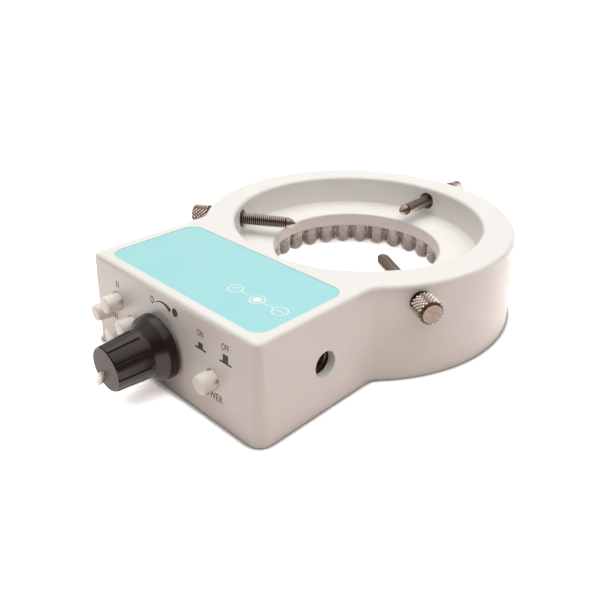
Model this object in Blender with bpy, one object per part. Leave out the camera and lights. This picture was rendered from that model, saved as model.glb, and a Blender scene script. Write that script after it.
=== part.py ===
"""An LED ring light for a microscope, with a dimmer knob, five push buttons and three thumbscrews.

The ring's axis is x = y = 0, its base is z = 0, and the control box runs out towards -Y.
Lengths are in metres. A panel part is built with +Z pointing out of the front panel.
"""

import math

import bmesh
import bpy
from mathutils import Vector

mm = 0.001
pi = math.pi

# Ring and box outline, at the top face
ring_radius = 50.0 * mm
box_half_width = 35.4 * mm
box_front = 76.2 * mm
corner_radius = 2.2 * mm
blend_radius = 6.0 * mm
height = 28.8 * mm
draft = 1.6 * mm
top_fillet = 1.5 * mm
rim_chamfer = 0.3 * mm
wall = 2.4 * mm
inner_corner_radius = 1.0 * mm
fit_gap = 0.3 * mm
overlap = 1.0 * mm
ring_arc_steps = 50
corner_arc_steps = 4
blend_arc_steps = 4
edge_arc_steps = 3
fillet_arc_steps = 2

# Stepped bore: the ring's wall, the shelf below it and the lip round the eye
ring_width = 10.0 * mm
bore_radius = ring_radius - ring_width
bore_rim_fillet = 1.3 * mm
shelf_drop = 9.9 * mm
shelf_height = height - shelf_drop
shelf_width = 12.5 * mm
shelf_fillet = 0.6 * mm
eye_radius = bore_radius - shelf_width
lip_wall = 1.5 * mm
lip_drop = 4.2 * mm
lip_bottom = shelf_height - lip_drop
bore_sides = 60

# Bottom cover
cover_bottom = 0.35 * mm
cover_thickness = 2.0 * mm
cover_hole_radius = 1.6 * mm

# Wall between the ring's chamber and the box, with the slot for the ribbon
partition_outer = ring_radius - fit_gap
partition_inner = partition_outer - wall
partition_bottom = cover_bottom
partition_half_angle = math.asin((box_half_width + wall) / partition_outer)
partition_steps = 20
slot_half_width = 4.0 * mm
slot_bottom = shelf_height - 1.7 * mm
slot_top = shelf_height + 2.9 * mm

# Posts and ledge that the bottom cover meets
post_radius = 3.0 * mm
post_bottom = cover_bottom + cover_thickness + fit_gap
post_x = box_half_width - 9.4 * mm
post_reach = partition_outer + 2.3 * mm
post_y = -math.sqrt(post_reach**2 - post_x**2)
pilot_radius = 1.1 * mm
pilot_depth = 9.0 * mm
ledge_depth = 1.6 * mm
ledge_height = 1.15 * mm
ledge_half_length = box_half_width - 5.4 * mm

# Label, between the bore's rim and the front edge
label_half_x = box_half_width - 3.9 * mm
label_centre_x = 0.6 * mm
label_back = -(bore_radius + bore_rim_fillet + 1.7 * mm)
label_front = -(box_front - 3.4 * mm)
label_half_y = (label_back - label_front) / 2
label_centre_y = (label_back + label_front) / 2
label_corner = 3.75 * mm
label_thickness = 0.3 * mm
label_below_face = 0.1 * mm
label_steps = 5

# LED board and LEDs
board_thickness = 1.6 * mm
led_board_inner = eye_radius + lip_wall + fit_gap
led_board_outer = partition_inner - fit_gap
holder_thickness = 0.8 * mm
led_radius = 2.85 * mm
led_length = 8.6 * mm
led_dome_share = 0.75
inner_row_radius = eye_radius + 4.5 * mm
outer_row_radius = inner_row_radius + 9.0 * mm
inner_row_count = 30
inner_row_start = 6.5
inner_counts = (8, 7, 8, 7)
outer_counts = (11, 10, 11, 10)
inner_led_sides = 8
outer_led_sides = 6

# Panel face at the height of the knob's axis; stations below count forward from it
axis_height = 12.8 * mm
panel_face = box_front + draft * (1 - axis_height / height)

# Push buttons: the centres in x and z, and the shared stations
power_x = 19.1 * mm
power_z = 12.3 * mm
diamond_x = -22.8 * mm
diamond_z = axis_height
diamond_half_x = 6.45 * mm
diamond_half_z = 5.1 * mm
cap_front = 4.3 * mm
flange_front = -3.25 * mm
flange_back = -4.25 * mm
flange_lip = 0.8 * mm
cap_edge = 0.4 * mm
cap_taper = 0.2 * mm
zone_cap_radius = 2.7 * mm
power_cap_radius = 2.75 * mm
cap_clearance = 0.2 * mm
notch_half_width = 0.6 * mm
notch_front = 1.1 * mm
stem_radius = 1.3 * mm
stem_front = 1.2 * mm
stem_back = -9.6 * mm
switch_front = -6.6 * mm
switch_depth = 6.0 * mm
switch_floor = -11.9 * mm
zone_switch_half = 2.9 * mm
power_switch_half = 4.25 * mm
switch_edge = 0.3 * mm
cap_sides = 20
stem_sides = 8

# Control board behind the switches, and the guides that hold its upper half
board_front = switch_front - switch_depth - fit_gap
control_half_x = box_half_width - 4.4 * mm
control_top = height - wall - 1.4 * mm
guide_reach = 2.5 * mm
guide_inner_x = control_half_x - 2.1 * mm
guide_outer_x = box_half_width - wall / 2
guide_front = board_front + guide_reach
guide_back = board_front - board_thickness - guide_reach
guide_bottom = diamond_z + zone_switch_half + 0.6 * mm

# Dimmer
knob_x = -2.08 * mm
pot_radius = 8.25 * mm
pot_front = -3.2 * mm
pot_depth = 8.0 * mm
bushing_radius = 4.5 * mm
bushing_end = 3.7 * mm
washer_back = 0.65 * mm
washer_thickness = 0.5 * mm
washer_radius = 6.25 * mm
nut_thickness = 2.0 * mm
nut_half_flats = 5.5 * mm
shaft_radius = 3.0 * mm
shaft_back = -8.9 * mm
shaft_front = 14.0 * mm
shaft_flat_back = 6.0 * mm
shaft_flat_share = 0.6
pot_sides = 24
shaft_sides = 16

# Knob
knob_back = 0.85 * mm
skirt_back_radius = 9.35 * mm
skirt_front_radius = 9.05 * mm
skirt_front = 3.7 * mm
skirt_edge = 0.35 * mm
body_back = 6.4 * mm
body_back_radius = 6.93 * mm
knob_front = 16.9 * mm
body_front_radius = 6.28 * mm
knob_rim = 0.6 * mm
rim_steps = 2
groove_depth = 0.5 * mm
groove_half_width = 0.55 * mm
groove_short = 1.2 * mm
groove_count = 10
groove_start = math.radians(-9.0)
knob_recess_radius = 7.0 * mm
knob_recess_depth = 3.55 * mm
pointer_angle = math.radians(-135.0)
pointer_half_width = 0.65 * mm
pointer_inner = 4.0 * mm
pointer_proud = 0.1 * mm
pointer_depth = 0.9 * mm
pointer_side_length = 4.0 * mm
inlay_gap = 0.1 * mm

# Inlet for the lead
inlet_y = -54.1 * mm
inlet_z = 13.85 * mm
inlet_hole_radius = 3.65 * mm
jack_face = box_half_width - 2.2 * mm
jack_length = 14.0 * mm
jack_half_y = 4.5 * mm
jack_half_z = 5.5 * mm
jack_bore_radius = 3.1 * mm
jack_bore_depth = 9.5 * mm
jack_pin_radius = 1.0 * mm
jack_pin_below_face = 1.2 * mm
jack_sides = 20
rest_half_y = 3.0 * mm
rest_length = 8.0 * mm
rest_outer_x = jack_face - 3.2 * mm
rest_inner_x = rest_outer_x - rest_length

# Leads
ribbon_half_width = 3.0 * mm
ribbon_thickness = 1.0 * mm
ribbon_bottom = shelf_height
ribbon_end_radius = partition_inner - 3.0 * mm
ribbon_bend = 1.6 * mm
lead_radius = 1.2 * mm
lead_bend = 3.0 * mm
lead_straight = 3.0 * mm
lead_sides = 8
bend_steps = 4

# Thumbscrews, with stations counted outward from the head's inner face
screw_height = height - 5.1 * mm
screw_angles = (90.0, 210.0, 330.0)
screw_seats = (ring_radius + 4.5 * mm, ring_radius + 1.5 * mm, ring_radius + 1.5 * mm)
screw_hole_radius = 3.0 * mm
head_length = 6.5 * mm
head_radius = 3.95 * mm
head_face_radius = 3.2 * mm
head_chamfer = 0.8 * mm
head_back_chamfer = 0.45 * mm
knurl_depth = 0.28 * mm
knurl_rows = 7
knurl_columns = 24
shank_radius = 2.0 * mm
shank_length = 27.3 * mm
shank_chamfer = 0.3 * mm
nose_length = 2.9 * mm
nose_radius = 1.95 * mm
nose_tip_radius = 1.0 * mm
nose_stem_radius = 0.7 * mm
nose_stem_length = 2.5 * mm
nose_sides = 12
insert_radius = 2.7 * mm
insert_outer = ring_radius
insert_inner = insert_outer - 5.8 * mm
boss_half_width = 4.6 * mm
boss_inner = bore_radius + 1.3 * mm
boss_outer = ring_radius - 1.2 * mm
boss_bottom = screw_height - 4.3 * mm


def clear_scene():
    for obj in list(bpy.data.objects):
        bpy.data.objects.remove(obj, do_unlink=True)


def stand(name, location, rotation=(0, 0, 0)):
    """An empty that places the parts of one axis."""
    empty = bpy.data.objects.new(name, None)
    empty.empty_display_size = wall
    empty.location = location
    empty.rotation_euler = rotation
    bpy.context.scene.collection.objects.link(empty)
    return empty


def solid(name, points, faces, parent=None):
    """A closed mesh object with its faces turned outward."""
    mesh = bpy.data.meshes.new(name)
    mesh.from_pydata([tuple(point) for point in points], [], faces)
    work = bmesh.new()
    work.from_mesh(mesh)
    bmesh.ops.recalc_face_normals(work, faces=work.faces)
    work.to_mesh(mesh)
    work.free()
    obj = bpy.data.objects.new(name, mesh)
    bpy.context.scene.collection.objects.link(obj)
    obj.parent = parent
    return obj


def skinned(name, rings, parent=None, loop=False):
    """Joins rings of points. A ring of one point is a pole, and an open end is capped."""
    points, spans, faces = [], [], []
    for ring in rings:
        spans.append(range(len(points), len(points) + len(ring)))
        points.extend(ring)
    pairs = list(zip(spans, spans[1:]))
    if loop:
        pairs.append((spans[-1], spans[0]))
    for low, high in pairs:
        count = max(len(low), len(high))
        for i in range(count):
            j = (i + 1) % count
            corners = [low[i % len(low)], low[j % len(low)], high[j % len(high)], high[i % len(high)]]
            face = list(dict.fromkeys(corners))
            if len(face) > 2:
                faces.append(face)
    if not loop:
        faces.extend(list(span) for span in (spans[0], spans[-1]) if len(span) > 1)
    return solid(name, points, faces, parent)


def turned(name, profile, sides, parent=None, loop=False):
    """Turns (radius, height) points round Z. A radius of zero is a pole."""
    rings = []
    for radius, level in profile:
        if radius == 0:
            rings.append([Vector((0, 0, level))])
            continue
        angles = [2 * pi * i / sides for i in range(sides)]
        rings.append([Vector((radius * math.cos(a), radius * math.sin(a), level)) for a in angles])
    return skinned(name, rings, parent, loop)


def slab(name, outline, low, high, parent=None):
    """An outline in x and y, raised from one height to another."""
    rings = [[Vector((x, y, level)) for x, y in outline] for level in (low, high)]
    return skinned(name, rings, parent)


def block(name, x_range, y_range, z_range, parent=None):
    (x0, x1), (y0, y1) = x_range, y_range
    return slab(name, [(x0, y0), (x1, y0), (x1, y1), (x0, y1)], *z_range, parent)


def rod(name, radius, low, high, sides, parent=None):
    return turned(name, [(0, low), (radius, low), (radius, high), (0, high)], sides, parent)


def arc(centre, radius, start, end, steps):
    """Points on an arc in a plane, both ends included. Angles are in radians."""
    angles = [start + (end - start) * i / steps for i in range(steps + 1)]
    return [(centre[0] + radius * math.cos(a), centre[1] + radius * math.sin(a)) for a in angles]


def rounded_box(half_x, half_y, radius, steps, centre=(0, 0)):
    points = []
    for i, (side_x, side_y) in enumerate(((1, 1), (-1, 1), (-1, -1), (1, -1))):
        middle = (centre[0] + side_x * (half_x - radius), centre[1] + side_y * (half_y - radius))
        points += arc(middle, radius, i * pi / 2, (i + 1) * pi / 2, steps)
    return points


def combine(target, tool, operation):
    modifier = target.modifiers.new(tool.name, "BOOLEAN")
    modifier.operation = operation
    modifier.solver = "EXACT"
    modifier.object = tool
    tool.hide_render = True
    tool.display_type = "WIRE"


def add(target, tool):
    combine(target, tool, "UNION")


def cut(target, tool):
    combine(target, tool, "DIFFERENCE")


def finish(obj, colour, roughness, metallic=0.0):
    """Gives a part its own material."""
    material = bpy.data.materials.new(obj.name)
    material.use_nodes = True
    shader = material.node_tree.nodes["Principled BSDF"]
    shader.inputs["Base Color"].default_value = (*colour, 1.0)
    shader.inputs["Roughness"].default_value = roughness
    shader.inputs["Metallic"].default_value = metallic
    obj.data.materials.clear()
    obj.data.materials.append(material)


def keyhole(ring, half, front, corner, blend):
    """The plan outline, counter-clockwise: ring arc, left blend, two corners, right blend."""
    blend_x = half + blend
    blend_y = -math.sqrt((ring + blend) ** 2 - blend_x**2)
    turn = math.atan2(blend_y, blend_x)
    points = arc((0, 0), ring, turn, pi - turn, ring_arc_steps)
    points += arc((-blend_x, blend_y), blend, -turn, 0, blend_arc_steps)[1:]
    points += arc((corner - half, corner - front), corner, pi, 3 * pi / 2, corner_arc_steps)
    points += arc((half - corner, corner - front), corner, -pi / 2, 0, corner_arc_steps)
    points += arc((blend_x, blend_y), blend, pi, pi + turn, blend_arc_steps)[:-1]
    return points


def level_ring(outline, level):
    return [Vector((x, y, level)) for x, y in outline]


def grown(grow, level):
    """The outer outline moved out by grow, at a height."""
    outline = keyhole(
        ring_radius + grow,
        box_half_width + grow,
        box_front + grow,
        corner_radius + grow,
        blend_radius - grow,
    )
    return level_ring(outline, level)


def draft_at(level):
    return draft * (1 - level / height)


def make_shell():
    """The outer moulding, hollow from below."""
    rings = [grown(draft - rim_chamfer, 0), grown(draft_at(rim_chamfer), rim_chamfer)]
    start = height - top_fillet
    for i in range(edge_arc_steps + 1):
        turn = pi / 2 * i / edge_arc_steps
        grow = draft_at(start) - top_fillet * (1 - math.cos(turn))
        rings.append(grown(grow, start + top_fillet * math.sin(turn)))
    housing = skinned("housing", rings)
    hollow = []
    for level in (-overlap, height - wall):
        grow = draft_at(level) - wall
        outline = keyhole(
            ring_radius + grow,
            box_half_width + grow,
            box_front + grow,
            inner_corner_radius + draft_at(level),
            blend_radius - grow,
        )
        hollow.append(level_ring(outline, level))
    cut(housing, skinned("housing_hollow", hollow))
    return housing


def add_ring_walls(housing):
    """The bore's wall, the shelf with its lip, and the partition towards the box."""
    ceiling = height - wall + overlap
    shelf_under = shelf_height - wall
    core = [(0, lip_bottom), (eye_radius + lip_wall, lip_bottom), (eye_radius + lip_wall, shelf_under)]
    core += [(bore_radius + wall, shelf_under), (bore_radius + wall, ceiling), (0, ceiling)]
    add(housing, turned("bore_core", core, bore_sides))
    first, last = -pi / 2 - partition_half_angle, -pi / 2 + partition_half_angle
    outline = arc((0, 0), partition_outer, first, last, partition_steps)
    outline += arc((0, 0), partition_inner, last, first, partition_steps)
    add(housing, slab("partition", outline, partition_bottom, ceiling))


def add_bosses(housing):
    """What the thumbscrews, the cover, the control board and the inlet are held by."""
    ceiling = height - wall + overlap
    for i, angle in enumerate(screw_angles):
        axis = stand(f"boss_{i + 1}_axis", (0, 0, 0), (0, 0, math.radians(angle)))
        size = (boss_inner, boss_outer), (-boss_half_width, boss_half_width), (boss_bottom, ceiling)
        add(housing, block(f"boss_{i + 1}", *size, parent=axis))
    for side, name in ((-1, "left"), (1, "right")):
        post = rod(f"post_{name}", post_radius, post_bottom, ceiling, cap_sides)
        post.location = (side * post_x, post_y, 0)
        add(housing, post)
        depth = (panel_to_y(guide_front), panel_to_y(guide_back))
        width = sorted((side * guide_inner_x, side * guide_outer_x))
        add(housing, block(f"guide_{name}", width, depth, (guide_bottom, ceiling)))
    ledge_front = -(box_front + draft_at(0) - wall) - overlap
    ledge_back = ledge_front + overlap + ledge_depth
    ledge_top = post_bottom + ledge_height
    ledge_size = (-ledge_half_length, ledge_half_length), (ledge_front, ledge_back), (post_bottom, ledge_top)
    add(housing, block("ledge", *ledge_size))
    rest_y = (inlet_y - rest_half_y, inlet_y + rest_half_y)
    rest_bottom = inlet_z + jack_half_z + fit_gap
    add(housing, block("inlet_rest", (rest_inner_x, rest_outer_x), rest_y, (rest_bottom, ceiling)))


def panel_to_y(station):
    """The world y of a station counted forward from the panel's face."""
    return -(panel_face + station)


def bore_profile():
    """The stepped bore as a cutter: eye, shelf with its rounded edge, wall and rounded rim."""
    points = [(0, lip_bottom - overlap), (eye_radius, lip_bottom - overlap)]
    middle = (eye_radius + shelf_fillet, shelf_height - shelf_fillet)
    points += arc(middle, shelf_fillet, pi, pi / 2, fillet_arc_steps)
    middle = (bore_radius - shelf_fillet, shelf_height + shelf_fillet)
    points += arc(middle, shelf_fillet, -pi / 2, 0, fillet_arc_steps)
    middle = (bore_radius + bore_rim_fillet, height - bore_rim_fillet)
    points += arc(middle, bore_rim_fillet, pi, pi / 2, edge_arc_steps)
    points += [(bore_radius + bore_rim_fillet, height + overlap), (0, height + overlap)]
    return points


def cut_housing(housing):
    """The bore, and the holes, slots and recess of the finished moulding."""
    cut(housing, turned("bore", bore_profile(), bore_sides))
    for i, angle in enumerate(screw_angles):
        axis = stand(f"screw_hole_{i + 1}_axis", (0, 0, screw_height), (0, pi / 2, math.radians(angle)))
        inside, outside = bore_radius - overlap, ring_radius + draft + overlap
        cut(housing, rod(f"screw_hole_{i + 1}", screw_hole_radius, inside, outside, cap_sides, axis))
    for name, x, z, radius in panel_holes():
        axis = stand(f"{name}_hole_axis", (x, -panel_face, z), (pi / 2, 0, 0))
        cut(housing, rod(f"{name}_hole", radius, -wall - overlap, draft + overlap, cap_sides, axis))
    axis = stand("inlet_hole_axis", (box_half_width, inlet_y, inlet_z), (0, pi / 2, 0))
    cut(housing, rod("inlet_hole", inlet_hole_radius, -wall - overlap, draft + overlap, cap_sides, axis))
    half_x, half_y = label_half_x + fit_gap, label_half_y + fit_gap
    middle = (label_centre_x, label_centre_y)
    outline = rounded_box(half_x, half_y, label_corner + fit_gap, label_steps, middle)
    floor = height - label_below_face - label_thickness - fit_gap
    cut(housing, slab("label_recess", outline, floor, height + overlap))
    slot_y = (-partition_outer - overlap, -partition_inner + overlap)
    cut(housing, block("lead_slot", (-slot_half_width, slot_half_width), slot_y, (slot_bottom, slot_top)))
    board_y = (board_front + fit_gap, board_front - board_thickness - fit_gap)
    depth = [panel_to_y(station) for station in board_y]
    width = (-control_half_x - fit_gap, control_half_x + fit_gap)
    cut(housing, block("board_slot", width, depth, (guide_bottom - overlap, control_top + fit_gap)))
    for side, name in ((-1, "left"), (1, "right")):
        pilot_top = post_bottom + pilot_depth
        pilot = rod(f"pilot_{name}", pilot_radius, post_bottom - overlap, pilot_top, stem_sides)
        pilot.location = (side * post_x, post_y, 0)
        cut(housing, pilot)


def panel_holes():
    cap_hole = zone_cap_radius + cap_clearance
    holes = [(f"zone_{i + 1}", x, z, cap_hole) for i, (x, z) in enumerate(zone_centres())]
    holes.append(("power", power_x, power_z, power_cap_radius + cap_clearance))
    holes.append(("dimmer", knob_x, axis_height, bushing_radius + fit_gap))
    return holes


def zone_centres():
    """Right, top, left and bottom of the diamond."""
    return [
        (diamond_x + diamond_half_x, diamond_z),
        (diamond_x, diamond_z + diamond_half_z),
        (diamond_x - diamond_half_x, diamond_z),
        (diamond_x, diamond_z - diamond_half_z),
    ]


def make_cover():
    """The plate under the box. Its back edge follows the partition."""
    level = cover_bottom + cover_thickness
    inset = draft_at(level) - wall - fit_gap
    half, front = box_half_width + inset, box_front + inset
    radius = inner_corner_radius + draft_at(level)
    back = partition_outer + fit_gap
    turn = math.acos(half / back)
    outline = arc((radius - half, radius - front), radius, pi, 3 * pi / 2, corner_arc_steps)
    outline += arc((half - radius, radius - front), radius, -pi / 2, 0, corner_arc_steps)
    outline += arc((0, 0), back, -turn, turn - pi, partition_steps)
    cover = slab("bottom_cover", outline, cover_bottom, level)
    for side, name in ((-1, "left"), (1, "right")):
        low, high = cover_bottom - overlap, level + overlap
        hole = rod(f"cover_hole_{name}", cover_hole_radius, low, high, stem_sides)
        hole.location = (side * post_x, post_y, 0)
        cut(cover, hole)
    finish(cover, (0.80, 0.74, 0.66), 0.5)


def make_label():
    middle = (label_centre_x, label_centre_y)
    outline = rounded_box(label_half_x, label_half_y, label_corner, label_steps, middle)
    top = height - label_below_face
    finish(slab("label", outline, top - label_thickness, top), (0.36, 0.78, 0.82), 0.4)


def make_led_board():
    top = shelf_height - wall - fit_gap
    low = top - board_thickness
    profile = [(led_board_inner, low), (led_board_outer, low), (led_board_outer, top), (led_board_inner, top)]
    finish(turned("led_board", profile, bore_sides, loop=True), (0.75, 0.75, 0.72), 0.45)
    return low - fit_gap


def led_points(start, span, inner_count, outer_count):
    """(radius, angle, sides) of the LEDs of one quarter."""
    for radius, count, sides in (
        (inner_row_radius, inner_count, inner_led_sides),
        (outer_row_radius, outer_count, outer_led_sides),
    ):
        for i in range(count):
            yield radius, start + span * (i + 0.5) / count, sides


def led_solids(spots, base, low):
    """All LED bodies of one quarter as one mesh of closed shapes, each with a domed end."""
    points, faces = [], []
    dome = low + led_radius
    middle = low + led_radius * (1 - led_dome_share)
    width = led_radius * math.sqrt(1 - led_dome_share**2)
    for radius, angle, sides in spots:
        x, y = radius * math.cos(angle), radius * math.sin(angle)
        first = len(points)
        for size, level in ((led_radius, base), (led_radius, dome), (width, middle)):
            for i in range(sides):
                turn = angle + 2 * pi * i / sides
                points.append((x + size * math.cos(turn), y + size * math.sin(turn), level))
        points.append((x, y, low))
        tip = len(points) - 1
        faces.append([first + i for i in range(sides)])
        for i in range(sides):
            j = (i + 1) % sides
            for row in (first, first + sides):
                faces.append([row + i, row + j, row + sides + j, row + sides + i])
            faces.append([first + 2 * sides + i, first + 2 * sides + j, tip])
    return points, faces


def make_led_quadrants(top):
    """Four holders with their LEDs, one for each zone button."""
    low = top - holder_thickness
    pitch = 2 * pi / inner_row_count
    start = math.radians(inner_row_start) - pitch / 2
    for i, (inner_count, outer_count) in enumerate(zip(inner_counts, outer_counts)):
        span = pitch * inner_count
        margin = fit_gap / 2 / led_board_inner
        steps = 2 * inner_count
        outline = arc((0, 0), led_board_outer, start + margin, start + span - margin, steps)
        outline += arc((0, 0), led_board_inner, start + span - margin, start + margin, steps)
        holder = slab(f"led_quadrant_{i + 1}", outline, low, top)
        spots = list(led_points(start, span, inner_count, outer_count))
        shapes = led_solids(spots, top - holder_thickness / 2, low - led_length + holder_thickness)
        add(holder, solid(f"led_bodies_{i + 1}", *shapes))
        finish(holder, (0.55, 0.50, 0.46), 0.25)
        start += span


def make_control_board():
    width = (-control_half_x, control_half_x)
    depth = (panel_to_y(board_front), panel_to_y(board_front - board_thickness))
    board = block("control_board", width, depth, (post_bottom, control_top))
    finish(board, (0.05, 0.25, 0.10), 0.5)


def make_button(name, x, z, radius, half):
    """A push switch with its sliding stem and its cap."""
    axis = stand(f"{name}_axis", (x, -panel_face, z), (pi / 2, 0, 0))
    tip = radius - cap_taper
    profile = [(0, cap_front), (tip - cap_edge, cap_front), (tip, cap_front - cap_edge), (radius, 0)]
    flange = radius + flange_lip
    profile += [(radius, flange_front), (flange, flange_front), (flange, flange_back)]
    bore = stem_radius + fit_gap
    profile += [(bore, flange_back), (bore, stem_front + fit_gap), (0, stem_front + fit_gap)]
    cap = turned(f"{name}_cap", profile, cap_sides, axis)
    across, along = (-notch_half_width, notch_half_width), (-flange - overlap, flange + overlap)
    slot_depth = (flange_back - overlap, notch_front)
    cut(cap, block(f"{name}_upright_notch", across, along, slot_depth, axis))
    cut(cap, block(f"{name}_level_notch", along, across, slot_depth, axis))
    finish(cap, (0.80, 0.70, 0.62), 0.4)
    stem = rod(f"{name}_plunger", stem_radius, stem_back, stem_front, stem_sides, axis)
    finish(stem, (0.85, 0.85, 0.82), 0.5)
    outline = rounded_box(half, half, switch_edge, 1)
    switch = slab(f"{name}_switch", outline, switch_front - switch_depth, switch_front, axis)
    cut(switch, rod(f"{name}_switch_bore", bore, switch_floor, switch_front + overlap, stem_sides, axis))
    finish(switch, (0.03, 0.03, 0.03), 0.5)


def make_dimmer():
    """The potentiometer behind the panel, with its washer, nut and turning shaft."""
    axis = stand("dimmer_axis", (knob_x, -panel_face, axis_height), (pi / 2, 0, 0))
    hole = shaft_radius + fit_gap
    back = pot_front - pot_depth
    profile = [(0, back), (pot_radius, back), (pot_radius, pot_front), (bushing_radius, pot_front)]
    profile += [(bushing_radius, bushing_end), (hole, bushing_end)]
    profile += [(hole, shaft_back - fit_gap), (0, shaft_back - fit_gap)]
    finish(turned("dimmer_pot", profile, pot_sides, axis), (0.55, 0.55, 0.55), 0.35, 0.9)
    sleeve = bushing_radius + fit_gap
    top = washer_back + washer_thickness
    profile = [(sleeve, washer_back), (washer_radius, washer_back), (washer_radius, top), (sleeve, top)]
    finish(turned("pot_washer", profile, pot_sides, axis, loop=True), (0.7, 0.7, 0.7), 0.3, 1.0)
    low, high = top + fit_gap, top + fit_gap + nut_thickness
    nut = rod("pot_nut", nut_half_flats / math.cos(pi / 6), low, high, 6, axis)
    cut(nut, rod("pot_nut_bore", sleeve, low - overlap, high + overlap, cap_sides, axis))
    finish(nut, (0.7, 0.7, 0.7), 0.3, 1.0)
    return axis


def flatted(name, radius, flat, back, front, parent):
    """A cutter that leaves a flat along one side of the shaft, or of the knob's bore."""
    reach = radius + overlap
    return block(name, (-reach, reach), (flat, reach + overlap), (back, front), parent)


def body_radius(level):
    """The radius of the knob's tapered body at a station."""
    share = (level - body_back) / (knob_front - knob_rim - body_back)
    return body_back_radius + (body_front_radius - body_back_radius) * share


def knob_rings():
    """The knob's outside from the back to the face. The grooves run out over the front edge."""
    groove_end = body_back + groove_short
    rows = [
        (skirt_back_radius - skirt_edge, knob_back, 0),
        (skirt_back_radius, knob_back + skirt_edge, 0),
        (skirt_front_radius, skirt_front, 0),
        (skirt_front_radius - skirt_edge, skirt_front + skirt_edge, 0),
        (body_back_radius, body_back, 0),
        (body_radius(groove_end), groove_end, 0),
        (body_radius(groove_end + groove_depth), groove_end + groove_depth, 1),
    ]
    middle = (body_front_radius - knob_rim, knob_front - knob_rim)
    rows += [(radius, level, 1) for radius, level in arc(middle, knob_rim, 0, pi / 2, rim_steps)]
    rings = []
    for radius, level, grooved in rows:
        ring = []
        for i in range(groove_count):
            middle = groove_start + 2 * pi * i / groove_count
            edge = groove_half_width / body_back_radius
            rest = 2 * pi / groove_count - 2 * edge
            spots = [(0, groove_depth * grooved), (edge, 0)]
            spots += [(edge + rest * j / 3, 0) for j in (1, 2, 3)]
            for turn, sink in spots:
                size = radius - sink
                spot = Vector((size * math.cos(middle + turn), size * math.sin(middle + turn), level))
                ring.append(spot)
        rings.append(ring)
    return rings


def pointer_outline(margin):
    """The pointer's side view in radius and height, or its slot's when margin is above zero."""
    proud = overlap if margin else pointer_proud
    low = knob_front - knob_rim - pointer_side_length - margin
    side = body_radius(low)
    return [
        (pointer_inner - margin, knob_front + proud),
        (body_front_radius - knob_rim + proud, knob_front + proud),
        (body_front_radius + proud, knob_front - knob_rim + proud),
        (side + proud, low),
        (side - pointer_depth - margin, low),
        (body_front_radius - pointer_depth - margin, knob_front - pointer_depth - margin),
        (pointer_inner - margin, knob_front - pointer_depth - margin),
    ]


def pointer_bar(name, margin, parent):
    half = pointer_half_width + margin
    rings = []
    for side in (-half, half):
        ring = []
        for radius, level in pointer_outline(margin):
            along = Vector((math.cos(pointer_angle), math.sin(pointer_angle), 0)) * radius
            across = Vector((-math.sin(pointer_angle), math.cos(pointer_angle), 0)) * side
            ring.append(along + across + Vector((0, 0, level)))
        rings.append(ring)
    return skinned(name, rings, parent)


def make_knob(axis):
    """The knob, its pointer and the shaft that it turns."""
    shaft = rod("pot_shaft", shaft_radius, shaft_back, shaft_front, shaft_sides, axis)
    flat = shaft_radius * shaft_flat_share
    cut(shaft, flatted("shaft_flat", shaft_radius, flat, shaft_flat_back, shaft_front + overlap, axis))
    finish(shaft, (0.75, 0.75, 0.75), 0.3, 1.0)
    knob = skinned("knob", knob_rings(), axis)
    recess_floor = knob_back + knob_recess_depth
    cut(knob, rod("knob_recess", knob_recess_radius, knob_back - overlap, recess_floor, pot_sides, axis))
    socket = shaft_radius + fit_gap
    bore = rod("knob_bore", socket, recess_floor - overlap, shaft_front + fit_gap, shaft_sides, axis)
    trim_size = (socket, flat + fit_gap, shaft_flat_back + fit_gap, shaft_front + overlap)
    cut(bore, flatted("knob_bore_flat", *trim_size, axis))
    cut(knob, bore)
    cut(knob, pointer_bar("pointer_slot", inlay_gap, axis))
    finish(knob, (0.045, 0.035, 0.032), 0.45)
    finish(pointer_bar("knob_pointer", 0, axis), (0.85, 0.78, 0.70), 0.4)


def make_inlet():
    """The power socket behind the side wall, open towards +X with its centre pin."""
    width = (jack_face - jack_length, jack_face)
    depth = (inlet_y - jack_half_y, inlet_y + jack_half_y)
    socket = block("dc_jack", width, depth, (inlet_z - jack_half_z, inlet_z + jack_half_z))
    axis = stand("inlet_axis", (jack_face, inlet_y, inlet_z), (0, pi / 2, 0))
    tip = -jack_pin_below_face
    profile = [(0, tip), (jack_pin_radius, tip), (jack_pin_radius, -jack_bore_depth)]
    profile += [(jack_bore_radius, -jack_bore_depth), (jack_bore_radius, overlap), (0, overlap)]
    cut(socket, turned("inlet_bore", profile, jack_sides, axis))
    finish(socket, (0.02, 0.02, 0.02), 0.45)


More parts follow.
